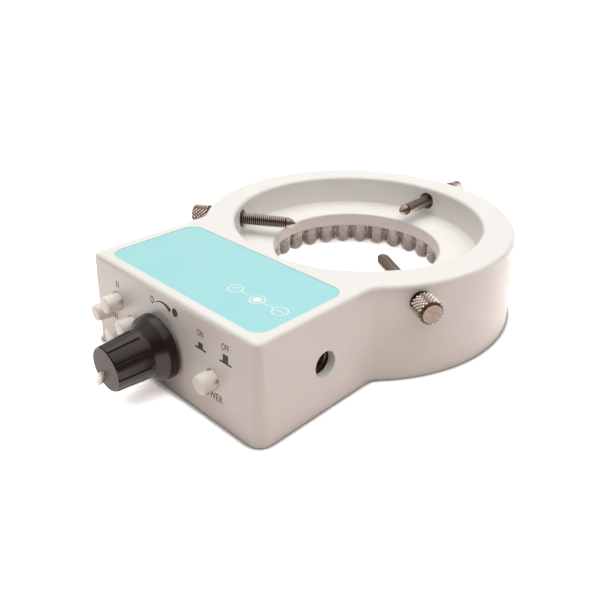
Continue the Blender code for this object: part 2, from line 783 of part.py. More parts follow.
def make_leads():
    """The ribbon to the LED board and the lead to the inlet."""
    start = panel_to_y(board_front - board_thickness - fit_gap)
    low, high = ribbon_bottom, ribbon_bottom + ribbon_thickness
    end = shelf_height - wall
    outer_y = -ribbon_end_radius
    centre = (outer_y - ribbon_bend, high - ribbon_bend)
    side = arc(centre, ribbon_bend, pi / 2, 0, bend_steps)
    side += [(outer_y, end), (outer_y - ribbon_thickness, end)]
    side += arc(centre, ribbon_bend - ribbon_thickness, 0, pi / 2, bend_steps)
    side += [(start, low), (start, high)]
    edges = (-ribbon_half_width, ribbon_half_width)
    ribbon = skinned("led_cable", [[Vector((x, y, z)) for y, z in side] for x in edges])
    finish(ribbon, (0.75, 0.72, 0.68), 0.6)
    back = jack_face - jack_length - fit_gap
    centre = (back - lead_straight, inlet_y - lead_bend)
    path = [(back, inlet_y, pi)]
    for i in range(bend_steps + 1):
        turn = pi / 2 + pi / 2 * i / bend_steps
        spot = (centre[0] + lead_bend * math.cos(turn), centre[1] + lead_bend * math.sin(turn))
        path.append((*spot, turn + pi / 2))
    path.append((centre[0] - lead_bend, start, 3 * pi / 2))
    rings = []
    for x, y, heading in path:
        ring = []
        for i in range(lead_sides):
            turn = 2 * pi * i / lead_sides
            across = lead_radius * math.cos(turn)
            spot = (x - across * math.sin(heading), y + across * math.cos(heading))
            ring.append(Vector((*spot, inlet_z + lead_radius * math.sin(turn))))
        rings.append(ring)
    finish(skinned("jack_cable", rings), (0.10, 0.02, 0.02), 0.5)


def knurled_rings():
    """Rings of the screw head's grip: high and low points alternate to form small pyramids."""
    low, high = head_back_chamfer, head_length - head_chamfer
    rings = []
    for row in range(knurl_rows + 1):
        level = low + (high - low) * row / knurl_rows
        ring = []
        for column in range(knurl_columns):
            turn = 2 * pi * column / knurl_columns
            sink = knurl_depth * ((row + column) % 2)
            size = head_radius - sink
            ring.append(Vector((size * math.cos(turn), size * math.sin(turn), level)))
        rings.append(ring)
    return rings


def plain_ring(radius, level, sides):
    angles = [2 * pi * i / sides for i in range(sides)]
    return [Vector((radius * math.cos(a), radius * math.sin(a), level)) for a in angles]


def make_thumbscrew(number, angle, seat):
    """One thumbscrew with its smooth nose, and the threaded insert that it runs in."""
    rotation = (0, pi / 2, math.radians(angle))
    turn = math.radians(angle)
    place = (seat * math.cos(turn), seat * math.sin(turn), screw_height)
    axis = stand(f"thumbscrew_{number}_axis", place, rotation)
    seat_radius = nose_stem_radius + fit_gap
    seat_end = -shank_length + nose_stem_length
    rows = [
        (shank_radius, 0),
        (shank_radius, -shank_length + shank_chamfer),
        (shank_radius - shank_chamfer, -shank_length),
        (seat_radius, -shank_length),
        (seat_radius, seat_end),
    ]
    rings = [[Vector((0, 0, head_length))], plain_ring(head_face_radius, head_length, knurl_columns)]
    rings += list(reversed(knurled_rings()))
    rings.append(plain_ring(head_radius - head_back_chamfer, 0, knurl_columns))
    rings += [plain_ring(radius, level, knurl_columns) for radius, level in rows]
    rings.append([Vector((0, 0, seat_end))])
    finish(skinned(f"thumbscrew_{number}", rings, axis), (0.10, 0.06, 0.045), 0.35, 0.8)
    shoulder = -shank_length - fit_gap
    profile = [(0, seat_end - fit_gap), (nose_stem_radius, seat_end - fit_gap), (nose_stem_radius, shoulder)]
    tip = shoulder - nose_length
    profile += [(nose_radius, shoulder), (nose_tip_radius, tip), (0, tip)]
    finish(turned(f"thumbscrew_nose_{number}", profile, nose_sides, axis), (0.25, 0.20, 0.17), 0.3, 0.9)
    hole = shank_radius + fit_gap
    low, high = insert_inner - seat, insert_outer - seat
    profile = [(hole, low), (insert_radius, low), (insert_radius, high), (hole, high)]
    insert = turned(f"screw_insert_{number}", profile, cap_sides, axis, loop=True)
    finish(insert, (0.70, 0.50, 0.20), 0.35, 1.0)


def main():
    clear_scene()
    housing = make_shell()
    add_ring_walls(housing)
    add_bosses(housing)
    cut_housing(housing)
    finish(housing, (0.82, 0.76, 0.69), 0.45)
    make_cover()
    make_label()
    make_led_quadrants(make_led_board())
    make_control_board()
    make_button("power", power_x, power_z, power_cap_radius, power_switch_half)
    for i, (x, z) in enumerate(zone_centres()):
        make_button(f"zone_{i + 1}", x, z, zone_cap_radius, zone_switch_half)
    make_knob(make_dimmer())
    make_inlet()
    make_leads()
    for i, (angle, seat) in enumerate(zip(screw_angles, screw_seats)):
        make_thumbscrew(i + 1, angle, seat)


main()
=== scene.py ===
"""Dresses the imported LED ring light: shapes, finishes, marks, camera and studio."""
import math

import bmesh
import bpy
from mathutils import Matrix, Vector


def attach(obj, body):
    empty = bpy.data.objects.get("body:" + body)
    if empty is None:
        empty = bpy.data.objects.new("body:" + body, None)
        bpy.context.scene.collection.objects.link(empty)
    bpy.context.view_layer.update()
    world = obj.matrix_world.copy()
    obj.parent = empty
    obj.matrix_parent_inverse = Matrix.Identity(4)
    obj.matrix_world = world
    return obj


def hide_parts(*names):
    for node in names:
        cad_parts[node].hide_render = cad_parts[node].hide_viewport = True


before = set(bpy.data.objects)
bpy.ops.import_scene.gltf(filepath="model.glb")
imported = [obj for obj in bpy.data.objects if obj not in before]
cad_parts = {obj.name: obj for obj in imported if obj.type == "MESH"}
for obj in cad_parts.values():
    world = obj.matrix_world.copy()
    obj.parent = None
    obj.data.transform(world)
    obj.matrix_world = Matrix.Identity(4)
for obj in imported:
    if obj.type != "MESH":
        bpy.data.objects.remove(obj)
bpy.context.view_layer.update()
mm = 0.001
pi = math.pi

# Camera: it stands to the front right of the control box and looks down on the ring,
# as the photograph does. Its place comes from the edges of the ring and the box.
azimuth, elevation, roll = (math.radians(angle) for angle in (44.4294, 28.8948, 0.4176))
eye = Vector((125.51, -154.57, 106.44)) * mm
flat = math.cos(elevation)
away = Vector((math.sin(azimuth) * flat, -math.cos(azimuth) * flat, math.sin(elevation)))
level = Vector((math.cos(azimuth), math.sin(azimuth), 0))
upright = away.cross(level)
right = math.cos(roll) * level + math.sin(roll) * upright
top = math.cos(roll) * upright - math.sin(roll) * level
bpy.ops.object.camera_add()
camera = bpy.context.object
camera.name = "camera"
camera.matrix_world = Matrix.Translation(eye) @ Matrix((right, top, away)).transposed().to_4x4()
camera.data.sensor_width = 36.0
camera.data.lens = 38.60
camera.data.clip_start = 0.01
bpy.context.scene.camera = camera

# Housing: one injection moulding in ivory ABS with a fine satin texture. The ring and the
# control box are one keyhole-shaped shell with drafted walls, open underneath, and the
# stepped bore is moulded down from the top face.
ring_radius, box_half_width, box_front = 50.0 * mm, 35.4 * mm, 76.2 * mm
corner_radius, blend_radius, inner_corner_radius = 2.2 * mm, 6.0 * mm, 1.0 * mm
height, draft, wall, top_fillet, rim_chamfer = 28.8 * mm, 1.6 * mm, 2.4 * mm, 1.5 * mm, 0.3 * mm
bore_radius, bore_rim, shelf_height, shelf_fillet = 40.0 * mm, 1.3 * mm, 18.9 * mm, 0.6 * mm
eye_radius, lip_wall, lip_bottom = 27.5 * mm, 1.5 * mm, 14.7 * mm
screw_angles, screw_height, screw_hole = (90, 210, 330), 23.7 * mm, 3.0 * mm
knob_x, knob_z, knob_hole = -2.08 * mm, 12.8 * mm, 4.8 * mm
inlet_y, inlet_z, inlet_hole = -54.1 * mm, 13.85 * mm, 3.65 * mm
power_hole, zone_hole = 2.86 * mm, 2.81 * mm
post_x, post_y, post_radius, post_bottom, pilot_hole = 26.0 * mm, -45.03 * mm, 3.0 * mm, 2.65 * mm, 1.3 * mm
panel_face = box_front + draft * (1 - knob_z / height)
hair, beyond = 0.01 * mm, 1.0 * mm


def choose(obj):
    """Only this object is selected and active."""
    bpy.ops.object.select_all(action="DESELECT")
    obj.select_set(True)
    bpy.context.view_layer.objects.active = obj


def edit(obj, kind="VERT"):
    """Opens an object for modelling with nothing selected."""
    choose(obj)
    bpy.ops.object.mode_set(mode="EDIT")
    bpy.ops.mesh.select_mode(type=kind)
    bpy.ops.mesh.select_all(action="DESELECT")


def done():
    """Closes the object that is open for modelling."""
    bpy.ops.object.mode_set(mode="OBJECT")


def pick(obj, test, kind="verts"):
    """Selects the vertices, edges or faces of an open mesh that a test finds by their place."""
    work = bmesh.from_edit_mesh(obj.data)
    for item in getattr(work, kind):
        item.select_set(bool(test(item)))
    bmesh.update_edit_mesh(obj.data)


def pen(name, spot):
    """Starts a drawing: one vertex at a spot, ready to be drawn out."""
    bpy.ops.object.select_all(action="DESELECT")
    bpy.ops.mesh.primitive_plane_add(size=mm, location=(0, 0, 0))
    obj = bpy.context.object
    obj.name = obj.data.name = name
    bpy.ops.object.mode_set(mode="EDIT")
    bpy.ops.mesh.select_mode(type="VERT")
    bpy.ops.mesh.merge(type="CENTER")
    bpy.ops.transform.translate(value=spot)
    return obj


def draw(step):
    """Draws a straight line on from the last vertex."""
    bpy.ops.mesh.extrude_region_move(TRANSFORM_OT_translate={"value": step})


def sweep(centre, turn, steps):
    """Draws an arc on from the last vertex, anticlockwise for a positive turn."""
    bpy.ops.mesh.spin(steps=steps, angle=-turn, center=(*centre, 0), axis=(0, 0, 1))


def close_outline(obj):
    """Fills the drawn outline with one face that looks up."""
    bpy.ops.mesh.select_all(action="SELECT")
    bpy.ops.mesh.remove_doubles(threshold=0.002 * mm)
    bpy.ops.mesh.edge_face_add()
    bpy.ops.mesh.select_mode(type="FACE")
    bpy.ops.mesh.select_all(action="SELECT")
    if bmesh.from_edit_mesh(obj.data).faces[:][0].normal.z < 0:
        bpy.ops.mesh.flip_normals()


def raise_to(steps):
    """Pulls the outline's face up in (inward, upward) steps and closes it underneath."""
    for inward, upward in steps:
        bpy.ops.mesh.inset(thickness=inward, depth=upward, use_even_offset=True)
    bpy.ops.mesh.select_mode(type="EDGE")
    bpy.ops.mesh.select_all(action="DESELECT")
    bpy.ops.mesh.select_non_manifold()
    bpy.ops.mesh.edge_face_add()
    face_out()


def face_out():
    """Turns all faces of the open mesh outward."""
    bpy.ops.mesh.select_all(action="SELECT")
    bpy.ops.mesh.normals_make_consistent(inside=False)


def keyhole(name, grow, corner, z):
    """The plan outline of ring and box, moved out by grow and filled."""
    ring, half, front = ring_radius + grow, box_half_width + grow, box_front + grow
    blend = blend_radius - grow
    blend_x = half + blend
    blend_y = -math.sqrt((ring + blend) ** 2 - blend_x**2)
    turn = math.atan2(blend_y, blend_x)
    obj = pen(name, (ring * math.cos(turn), ring * math.sin(turn), z))
    sweep((0, 0), pi - 2 * turn, 150)
    sweep((-blend_x, blend_y), turn, 10)
    draw((0, corner - front - blend_y, 0))
    sweep((corner - half, corner - front), pi / 2, 10)
    draw((2 * (half - corner), 0, 0))
    sweep((half - corner, corner - front), pi / 2, 10)
    draw((0, blend_y + front - corner, 0))
    sweep((blend_x, blend_y), turn, 10)
    close_outline(obj)
    return obj


def arc(centre, radius, start, end, steps):
    """Points on an arc of a turned profile. Angles are in degrees."""
    angles = [math.radians(start + (end - start) * i / steps) for i in range(steps + 1)]
    return [(centre[0] + radius * math.cos(a), centre[1] + radius * math.sin(a)) for a in angles]


def rounding_steps(radius, steps):
    """The (inward, upward) steps that round an upper edge."""
    edge = arc((0, 0), radius, 0, 90, steps)
    return [(before[0] - after[0], after[1] - before[1]) for before, after in zip(edge, edge[1:])]


def lathe(name, profile, steps, closed=False):
    """Turns a drawn (radius, height) profile round Z into a closed body."""
    obj = pen(name, (profile[0][0], 0, profile[0][1]))
    for (r0, z0), (r1, z1) in zip(profile, profile[1:]):
        draw((r1 - r0, 0, z1 - z0))
    if closed:
        draw((profile[0][0] - profile[-1][0], 0, profile[0][1] - profile[-1][1]))
    bpy.ops.mesh.select_all(action="SELECT")
    bpy.ops.mesh.spin(steps=steps, angle=2 * pi, center=(0, 0, 0), axis=(0, 0, 1))
    bpy.ops.mesh.select_all(action="SELECT")
    bpy.ops.mesh.remove_doubles(threshold=0.002 * mm)
    bpy.ops.mesh.dissolve_degenerate(threshold=0.001 * mm)
    face_out()
    done()
    return obj


def box(name, x, y, z):
    """A squared block between three pairs of limits."""
    bpy.ops.object.select_all(action="DESELECT")
    centre = [(low + high) / 2 for low, high in (x, y, z)]
    bpy.ops.mesh.primitive_cube_add(size=1, location=centre)
    obj = bpy.context.object
    obj.name = obj.data.name = name
    obj.scale = [abs(high - low) for low, high in (x, y, z)]
    return place(obj, obj.location)


def place(obj, spot, turn=(0, 0, 0)):
    """Sets a piece in its place and keeps that place in its mesh."""
    obj.location, obj.rotation_euler = spot, turn
    choose(obj)
    bpy.ops.object.transform_apply(location=True, rotation=True, scale=True)
    return obj


def combine(target, tool, operation="DIFFERENCE"):
    """Cuts a tool out of a piece, or joins it on, and clears the tool away."""
    choose(target)
    step = target.modifiers.new(operation.lower(), "BOOLEAN")
    step.operation, step.solver, step.object = operation, "EXACT", tool
    bpy.ops.object.modifier_apply(modifier=step.name)
    bpy.data.objects.remove(tool, do_unlink=True)


def smooth(obj, angle=32, weighted=True):
    """Soft shading that stays crisp at the edges, with flat faces kept flat."""
    choose(obj)
    bpy.ops.object.shade_smooth_by_angle(angle=math.radians(angle))
    if weighted:
        step = obj.modifiers.new("normals", "WEIGHTED_NORMAL")
        step.keep_sharp = True
        bpy.ops.object.modifier_apply(modifier=step.name)


def draft_at(z):
    """How far a drafted wall stands out at a height."""
    return draft * (1 - z / height)


side_top = height - top_fillet
housing = keyhole("housing_shell", draft, corner_radius + draft, 0)
raise_to([(draft_at(0) - draft_at(side_top), side_top)] + rounding_steps(top_fillet, 8))
pick(housing, lambda e: all(v.co.z < hair for v in e.verts), "edges")
bpy.ops.mesh.bevel(offset=rim_chamfer, segments=2, affect="EDGES")
done()
low = -beyond
hollow = keyhole("housing_hollow", draft_at(low) - wall, inner_corner_radius + draft_at(low), low)
raise_to([(draft_at(low) - draft_at(height - wall), height - wall - low)])
done()
combine(housing, hollow)

ceiling = height - wall + beyond
under_shelf = shelf_height - wall
core = [(0, lip_bottom), (eye_radius + lip_wall, lip_bottom), (eye_radius + lip_wall, under_shelf)]
core += [(bore_radius + wall, under_shelf), (bore_radius + wall, ceiling), (0, ceiling)]
combine(housing, lathe("bore_core", core, 144), "UNION")
partition_outer, partition_low = ring_radius - 0.3 * mm, 0.35 * mm
spread = math.asin((box_half_width + wall) / partition_outer)
end_x, end_y = -math.sin(spread), -math.cos(spread)
partition = pen("partition", (partition_outer * end_x, partition_outer * end_y, partition_low))
sweep((0, 0), 2 * spread, 60)
draw((wall * end_x, -wall * end_y, 0))
sweep((0, 0), -2 * spread, 60)
close_outline(partition)
raise_to([(0, ceiling - partition_low)])
done()
combine(housing, partition, "UNION")
for angle in screw_angles:
    boss = box("screw_boss", (41.3 * mm, 48.8 * mm), (-4.6 * mm, 4.6 * mm), (19.4 * mm, ceiling))
    combine(housing, place(boss, (0, 0, 0), (0, 0, math.radians(angle))), "UNION")
post_profile = [(0, post_bottom), (post_radius, post_bottom), (post_radius, ceiling), (0, ceiling)]
for side in (-1, 1):
    post = lathe("cover_post", post_profile, 32)
    combine(housing, place(post, (side * post_x, post_y, 0)), "UNION")

bore = [(0, lip_bottom - beyond), (eye_radius, lip_bottom - beyond)]
bore += arc((eye_radius + shelf_fillet, shelf_height - shelf_fillet), shelf_fillet, 180, 90, 5)
bore += arc((bore_radius - shelf_fillet, shelf_height + shelf_fillet), shelf_fillet, -90, 0, 5)
bore += arc((bore_radius + bore_rim, height - bore_rim), bore_rim, 180, 90, 7)
bore += [(bore_radius + bore_rim, height + beyond), (0, height + beyond)]
combine(housing, lathe("bore", bore, 144))


def drill(radius, start, end, spot, turn, steps=40):
    """A round hole through the moulding, from start to end along the axis that turn gives."""
    tool = lathe("drill", [(0, start), (radius, start), (radius, end), (0, end)], steps)
    combine(housing, place(tool, spot, turn))


for angle in screw_angles:
    outward = (0, pi / 2, math.radians(angle))
    drill(screw_hole, bore_radius - beyond, ring_radius + draft + beyond, (0, 0, screw_height), outward)
panel_turn, inlet_turn = (pi / 2, 0, 0), (0, pi / 2, 0)
inside, outside = -wall - beyond, draft + beyond
button_spots = {
    "zone_1": (-16.35, 12.8),
    "zone_2": (-22.8, 17.9),
    "zone_3": (-29.25, 12.8),
    "zone_4": (-22.8, 7.7),
    "power": (19.1, 12.3),
}
for name, (x, z) in button_spots.items():
    hole = power_hole if name == "power" else zone_hole
    drill(hole, inside, outside, (x * mm, -panel_face, z * mm), panel_turn)
drill(knob_hole, inside, outside, (knob_x, -panel_face, knob_z), panel_turn)
drill(inlet_hole, inside, outside, (box_half_width, inlet_y, inlet_z), inlet_turn)
for side in (-1, 1):
    drill(pilot_hole, post_bottom - beyond, 9.5 * mm, (side * post_x, post_y, 0), (0, 0, 0), 24)


def rounded_plate(name, half_x, half_y, corner, centre, z, thickness, edge=0, steps=8):
    """A flat plate with rounded corners, and a rounded upper edge where one is asked for."""
    obj = pen(name, (centre[0] - half_x, centre[1] + half_y - corner, z))
    for side_x, side_y in ((-1, -1), (1, -1), (1, 1), (-1, 1)):
        if side_x == side_y:
            draw((0, 2 * side_y * (half_y - corner), 0))
        else:
            draw((2 * side_x * (half_x - corner), 0, 0))
        bend = (centre[0] + side_x * (half_x - corner), centre[1] + side_y * (half_y - corner))
        sweep(bend, pi / 2, steps)
    close_outline(obj)
    raise_to([(0, thickness - edge)] + (rounding_steps(edge, 3) if edge else []))
    done()
    return obj


label_centre, label_half, label_corner = (0.6 * mm, -57.9 * mm), (31.5 * mm, 14.9 * mm), 3.75 * mm
gap, recess_floor = 0.3 * mm, height - 0.7 * mm
recess = (label_half[0] + gap, label_half[1] + gap, label_corner + gap, label_centre, recess_floor, beyond)
combine(housing, rounded_plate("label_recess", *recess))
combine(housing, box("ribbon_slot", (-4 * mm, 4 * mm), (-50.7 * mm, -46.3 * mm), (17.2 * mm, 21.8 * mm)))
smooth(housing)


def new_finish(name, colour, roughness, metallic=0.0):
    """A finish of its own, with its plain values set on the shader."""
    finish = bpy.data.materials.new(name)
    finish.use_nodes = True
    shader = finish.node_tree.nodes["Principled BSDF"]
    shader.inputs["Base Color"].default_value = (*colour, 1)
    shader.inputs["Roughness"].default_value = roughness
    shader.inputs["Metallic"].default_value = metallic
    return finish


def add_node(finish, kind, **values):
    """A shader node with its inputs or its settings given by name."""
    made = finish.node_tree.nodes.new(kind)
    for key, value in values.items():
        if key in made.inputs:
            made.inputs[key].default_value = value
        else:
            setattr(made, key, value)
    return made


def connect(finish, *path):
    """Links (node, output) to (node, input), one pair after another."""
    for (source, output), (target, entry) in zip(path[::2], path[1::2]):
        finish.node_tree.links.new(source.outputs[output], target.inputs[entry])


def grain(finish, size, depth):
    """Fine moulded or machined texture, in grains of a size and depth."""
    shader = finish.node_tree.nodes["Principled BSDF"]
    spots = add_node(finish, "ShaderNodeTexCoord")
    noise = add_node(finish, "ShaderNodeTexNoise", Scale=1 / size, Detail=2.0)
    bump = add_node(finish, "ShaderNodeBump", Strength=0.6, Distance=depth)
    connect(finish, (spots, "Object"), (noise, "Vector"), (noise, "Fac"), (bump, "Height"))
    connect(finish, (bump, "Normal"), (shader, "Normal"))


def mottle(finish, first, second, size):
    """A soft drift between two colours, in patches of a size."""
    shader = finish.node_tree.nodes["Principled BSDF"]
    spots = add_node(finish, "ShaderNodeTexCoord")
    noise = add_node(finish, "ShaderNodeTexNoise", Scale=1 / size, Detail=3.0)
    ramp = add_node(finish, "ShaderNodeValToRGB")
    for stop, position, colour in zip(ramp.color_ramp.elements, (0.35, 0.65), (first, second)):
        stop.position, stop.color = position, (*colour, 1)
    connect(finish, (spots, "Object"), (noise, "Vector"), (noise, "Fac"), (ramp, "Fac"))
    connect(finish, (ramp, "Color"), (shader, "Base Color"))


def coat(piece, *finishes):
    """Gives a piece its finishes."""
    piece.data.materials.clear()
    for finish in finishes:
        piece.data.materials.append(finish)


def fit(piece, body, slot, *nodes):
    """Says what a piece rides on and what it stands for; the slot, meant for its finish, is not used."""
    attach(piece, body)
    if nodes:
        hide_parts(*nodes)


ivory_abs = new_finish("ivory_abs", (0.875, 0.85, 0.815), 0.45)
mottle(ivory_abs, (0.865, 0.84, 0.805), (0.885, 0.862, 0.828), 14 * mm)
grain(ivory_abs, 0.22 * mm, 0.006 * mm)
coat(housing, ivory_abs)
fit(housing, "light", "ivory_plastic", "housing")

# Label: a pale blue printed film with rounded corners, stuck in a shallow recess of the
# box's top. It carries only the plain sign for the poles of a plug, in white ink.
film_half = [half + 0.22 * mm for half in label_half]
film_low, film_thickness, film_edge = height - 0.4 * mm, 0.32 * mm, 0.06 * mm
film = (*film_half, label_corner, label_centre, film_low, film_thickness, film_edge)
label = rounded_plate("label_plate", *film)
smooth(label)
pale_film = new_finish("pale_film", (0.35, 0.735, 0.755), 0.34)
mottle(pale_film, (0.34, 0.73, 0.75), (0.365, 0.745, 0.765), 9 * mm)
grain(pale_film, 0.35 * mm, 0.003 * mm)
coat(label, pale_film)
fit(label, "light", "label_film", "label")


def join(name, pieces):
    """Makes one piece out of several."""
    bpy.ops.object.select_all(action="DESELECT")
    for piece in pieces:
        piece.select_set(True)
    bpy.context.view_layer.objects.active = pieces[0]
    bpy.ops.object.join()
    pieces[0].name = pieces[0].data.name = name
    return pieces[0]


sign_y, sign_radius, sign_inner, sign_dot = -61.55 * mm, 2.2 * mm, 1.86 * mm, 1.25 * mm
sign_low, sign_high = height - 0.10 * mm, height - 0.04 * mm
plus_x, socket_x, minus_x = 11.0, 19.4, 27.6
sign = []
for x in (plus_x, socket_x, minus_x):
    rim = [(sign_inner, sign_low), (sign_radius, sign_low), (sign_radius, sign_high), (sign_inner, sign_high)]
    sign.append(place(lathe("sign_ring", rim, 48, closed=True), (x * mm, sign_y, 0)))
dot = [(0, sign_low), (sign_dot, sign_low), (sign_dot, sign_high), (0, sign_high)]
sign.append(place(lathe("sign_dot", dot, 40), (socket_x * mm, sign_y, 0)))
for x, half_x, half_y in (
    (plus_x, 1.15, 0.16),
    (plus_x, 0.16, 1.15),
    (minus_x, 1.15, 0.16),
    (15.2, 2.05, 0.14),
    (23.5, 1.95, 0.14),
):
    y = (sign_y - half_y * mm, sign_y + half_y * mm)
    sign.append(box("sign_bar", ((x - half_x) * mm, (x + half_x) * mm), y, (sign_low, sign_high)))
sign = join("polarity_sign", sign)
white_ink = new_finish("white_ink", (0.86, 0.93, 0.94), 0.5)
mottle(white_ink, (0.84, 0.92, 0.93), (0.88, 0.94, 0.95), 2 * mm)
coat(sign, white_ink)
fit(sign, "light", "label_film")

# LED board: a ring of circuit board with a white solder mask. It lies under the shelf, round
# the lip of the eye, and the LEDs are soldered to it.
white_mask = new_finish("white_mask", (0.72, 0.70, 0.67), 0.4)
mottle(white_mask, (0.70, 0.68, 0.65), (0.76, 0.74, 0.71), 5 * mm)
grain(white_mask, 0.3 * mm, 0.01 * mm)


def dress(node, finish):
    """A better finish on a CAD node that keeps its shape."""
    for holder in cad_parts[node].material_slots:
        holder.link = "OBJECT"
        holder.material = finish


dress("led_board", white_mask)

# LEDs: 72 clear round lamps in two rows, domes down, soldered to the board in four quarters.
# Each is cast in clear epoxy round its lead frame, and stands in a thin white carrier.
lamp_base, lamp_tip, lamp_radius, flange_radius = 14.2 * mm, 5.7 * mm, 3.0 * mm, 3.2 * mm
profile = [(0, lamp_base), (flange_radius, lamp_base), (flange_radius, lamp_base - 0.9 * mm)]
profile += [(lamp_radius, lamp_base - 1.1 * mm)]
profile += arc((0, lamp_tip + lamp_radius), lamp_radius, 0, -90, 7)
lamp = lathe("lamp", profile, 24)
smooth(lamp, weighted=False)
blade, frame_top = (1.5 * mm, 2.0 * mm), lamp_base - 0.1 * mm
anvil = box("anvil", (-1.7 * mm, 0.5 * mm), blade, (11.2 * mm, frame_top))
post = box("post", (0.75 * mm, 1.7 * mm), blade, (11.4 * mm, frame_top))
cup_floor, cup_lip, cup_foot, cup_radius = 12.3 * mm, 11.7 * mm, 12.6 * mm, 1.0 * mm
profile = [(0, cup_floor), (0.45 * mm, cup_floor), (0.8 * mm, cup_lip), (cup_radius, cup_lip)]
cup = lathe("cup", profile + [(cup_radius, cup_foot), (0, cup_foot)], 12)
lead_frame = join("lead_frame", [anvil, post, place(cup, (-0.3 * mm, 0.8 * mm, 0))])
lamp_epoxy = new_finish("lamp_epoxy", (0.63, 0.555, 0.515), 0.14)
lamp_shader = lamp_epoxy.node_tree.nodes["Principled BSDF"]
lamp_shader.inputs["Transmission Weight"].default_value = 0.8
lamp_shader.inputs["IOR"].default_value = 1.45
mottle(lamp_epoxy, (0.61, 0.535, 0.495), (0.66, 0.585, 0.545), 1.5 * mm)
lead_metal = new_finish("lead_metal", (0.53, 0.47, 0.43), 0.4)
mottle(lead_metal, (0.49, 0.43, 0.39), (0.58, 0.52, 0.475), 0.8 * mm)
carrier_white = new_finish("carrier_white", (0.86, 0.82, 0.79), 0.5)
mottle(carrier_white, (0.84, 0.80, 0.77), (0.88, 0.84, 0.81), 4 * mm)
grain(carrier_white, 0.3 * mm, 0.008 * mm)


def copies(model, name, spots):
    """Copies a piece to (x, y, z, turn) spots, each with its own mesh, as one piece."""
    made = []
    for x, y, z, turn in spots:
        twin = model.copy()
        twin.data = model.data.copy()
        bpy.context.collection.objects.link(twin)
        made.append(place(twin, (x, y, z), (0, 0, turn)))
    return join(name, made)


inner_row, outer_row, pitch = 32.0 * mm, 41.0 * mm, 2 * pi / 30
start = math.radians(6.5) - pitch / 2
carrier_inner, carrier_outer, carrier_low, carrier_thickness = 29.3 * mm, 47.0 * mm, 13.5 * mm, 0.8 * mm
carrier_gap = 0.005
for number, (inner_count, outer_count) in enumerate(((8, 11), (7, 10), (8, 11), (7, 10)), 1):
    span = pitch * inner_count
    spots = []
    for radius, count in ((inner_row, inner_count), (outer_row, outer_count)):
        for i in range(count):
            angle = start + span * (i + 0.5) / count
            spots.append((radius * math.cos(angle), radius * math.sin(angle), 0, angle + pi / 2))
    lamps = copies(lamp, f"lamps_{number}", spots)
    coat(lamps, lamp_epoxy)
    fit(lamps, "light", "led_epoxy", f"led_quadrant_{number}")
    frames = copies(lead_frame, f"lead_frames_{number}", spots)
    coat(frames, lead_metal)
    fit(frames, "light", "plated_steel")
    first, last = start + carrier_gap, start + span - carrier_gap
    corner_x, corner_y = carrier_outer * math.cos(first), carrier_outer * math.sin(first)
    carrier = pen(f"carrier_{number}", (corner_x, corner_y, carrier_low))
    sweep((0, 0), last - first, 30)
    draw([(carrier_inner - carrier_outer) * part for part in (math.cos(last), math.sin(last), 0)])
    sweep((0, 0), first - last, 30)
    close_outline(carrier)
    raise_to([(0, carrier_thickness)])
    done()
    smooth(carrier)
    coat(carrier, carrier_white)
    fit(carrier, "light", "led_board_mask")
    start += span
for model in (lamp, lead_frame):
    bpy.data.objects.remove(model, do_unlink=True)

# Control parts behind the panel: a green board, black switches with white stems, a zinc-plated
# potentiometer with its washer and nut, and the leads in their sheaths. Nothing shows of most
# of them, and they keep the solids' shapes.
board_green = new_finish("board_green", (0.02, 0.16, 0.07), 0.35)
mottle(board_green, (0.015, 0.13, 0.055), (0.03, 0.20, 0.09), 2 * mm)
grain(board_green, 0.4 * mm, 0.02 * mm)
dress("control_board", board_green)
switch_black = new_finish("switch_black", (0.02, 0.02, 0.02), 0.45)
mottle(switch_black, (0.016, 0.016, 0.017), (0.028, 0.027, 0.027), 3 * mm)
grain(switch_black, 0.2 * mm, 0.008 * mm)
stem_white = new_finish("stem_white", (0.72, 0.71, 0.68), 0.4)
mottle(stem_white, (0.70, 0.69, 0.66), (0.75, 0.74, 0.71), 2 * mm)
for name in button_spots:
    dress(f"{name}_switch", switch_black)
    dress(f"{name}_plunger", stem_white)
zinc = new_finish("zinc_plate", (0.62, 0.61, 0.59), 0.32, 1.0)
mottle(zinc, (0.56, 0.55, 0.53), (0.68, 0.67, 0.65), 1.5 * mm)
grain(zinc, 0.15 * mm, 0.004 * mm)
for name in ("dimmer_pot", "pot_washer", "pot_nut", "pot_shaft"):
    dress(name, zinc)
ribbon_grey = new_finish("ribbon_grey", (0.55, 0.53, 0.50), 0.5)
mottle(ribbon_grey, (0.52, 0.50, 0.47), (0.58, 0.56, 0.53), 2 * mm)
dress("led_cable", ribbon_grey)
lead_red = new_finish("lead_red", (0.30, 0.03, 0.02), 0.4)
mottle(lead_red, (0.27, 0.025, 0.018), (0.34, 0.04, 0.03), 2 * mm)
dress("jack_cable", lead_red)

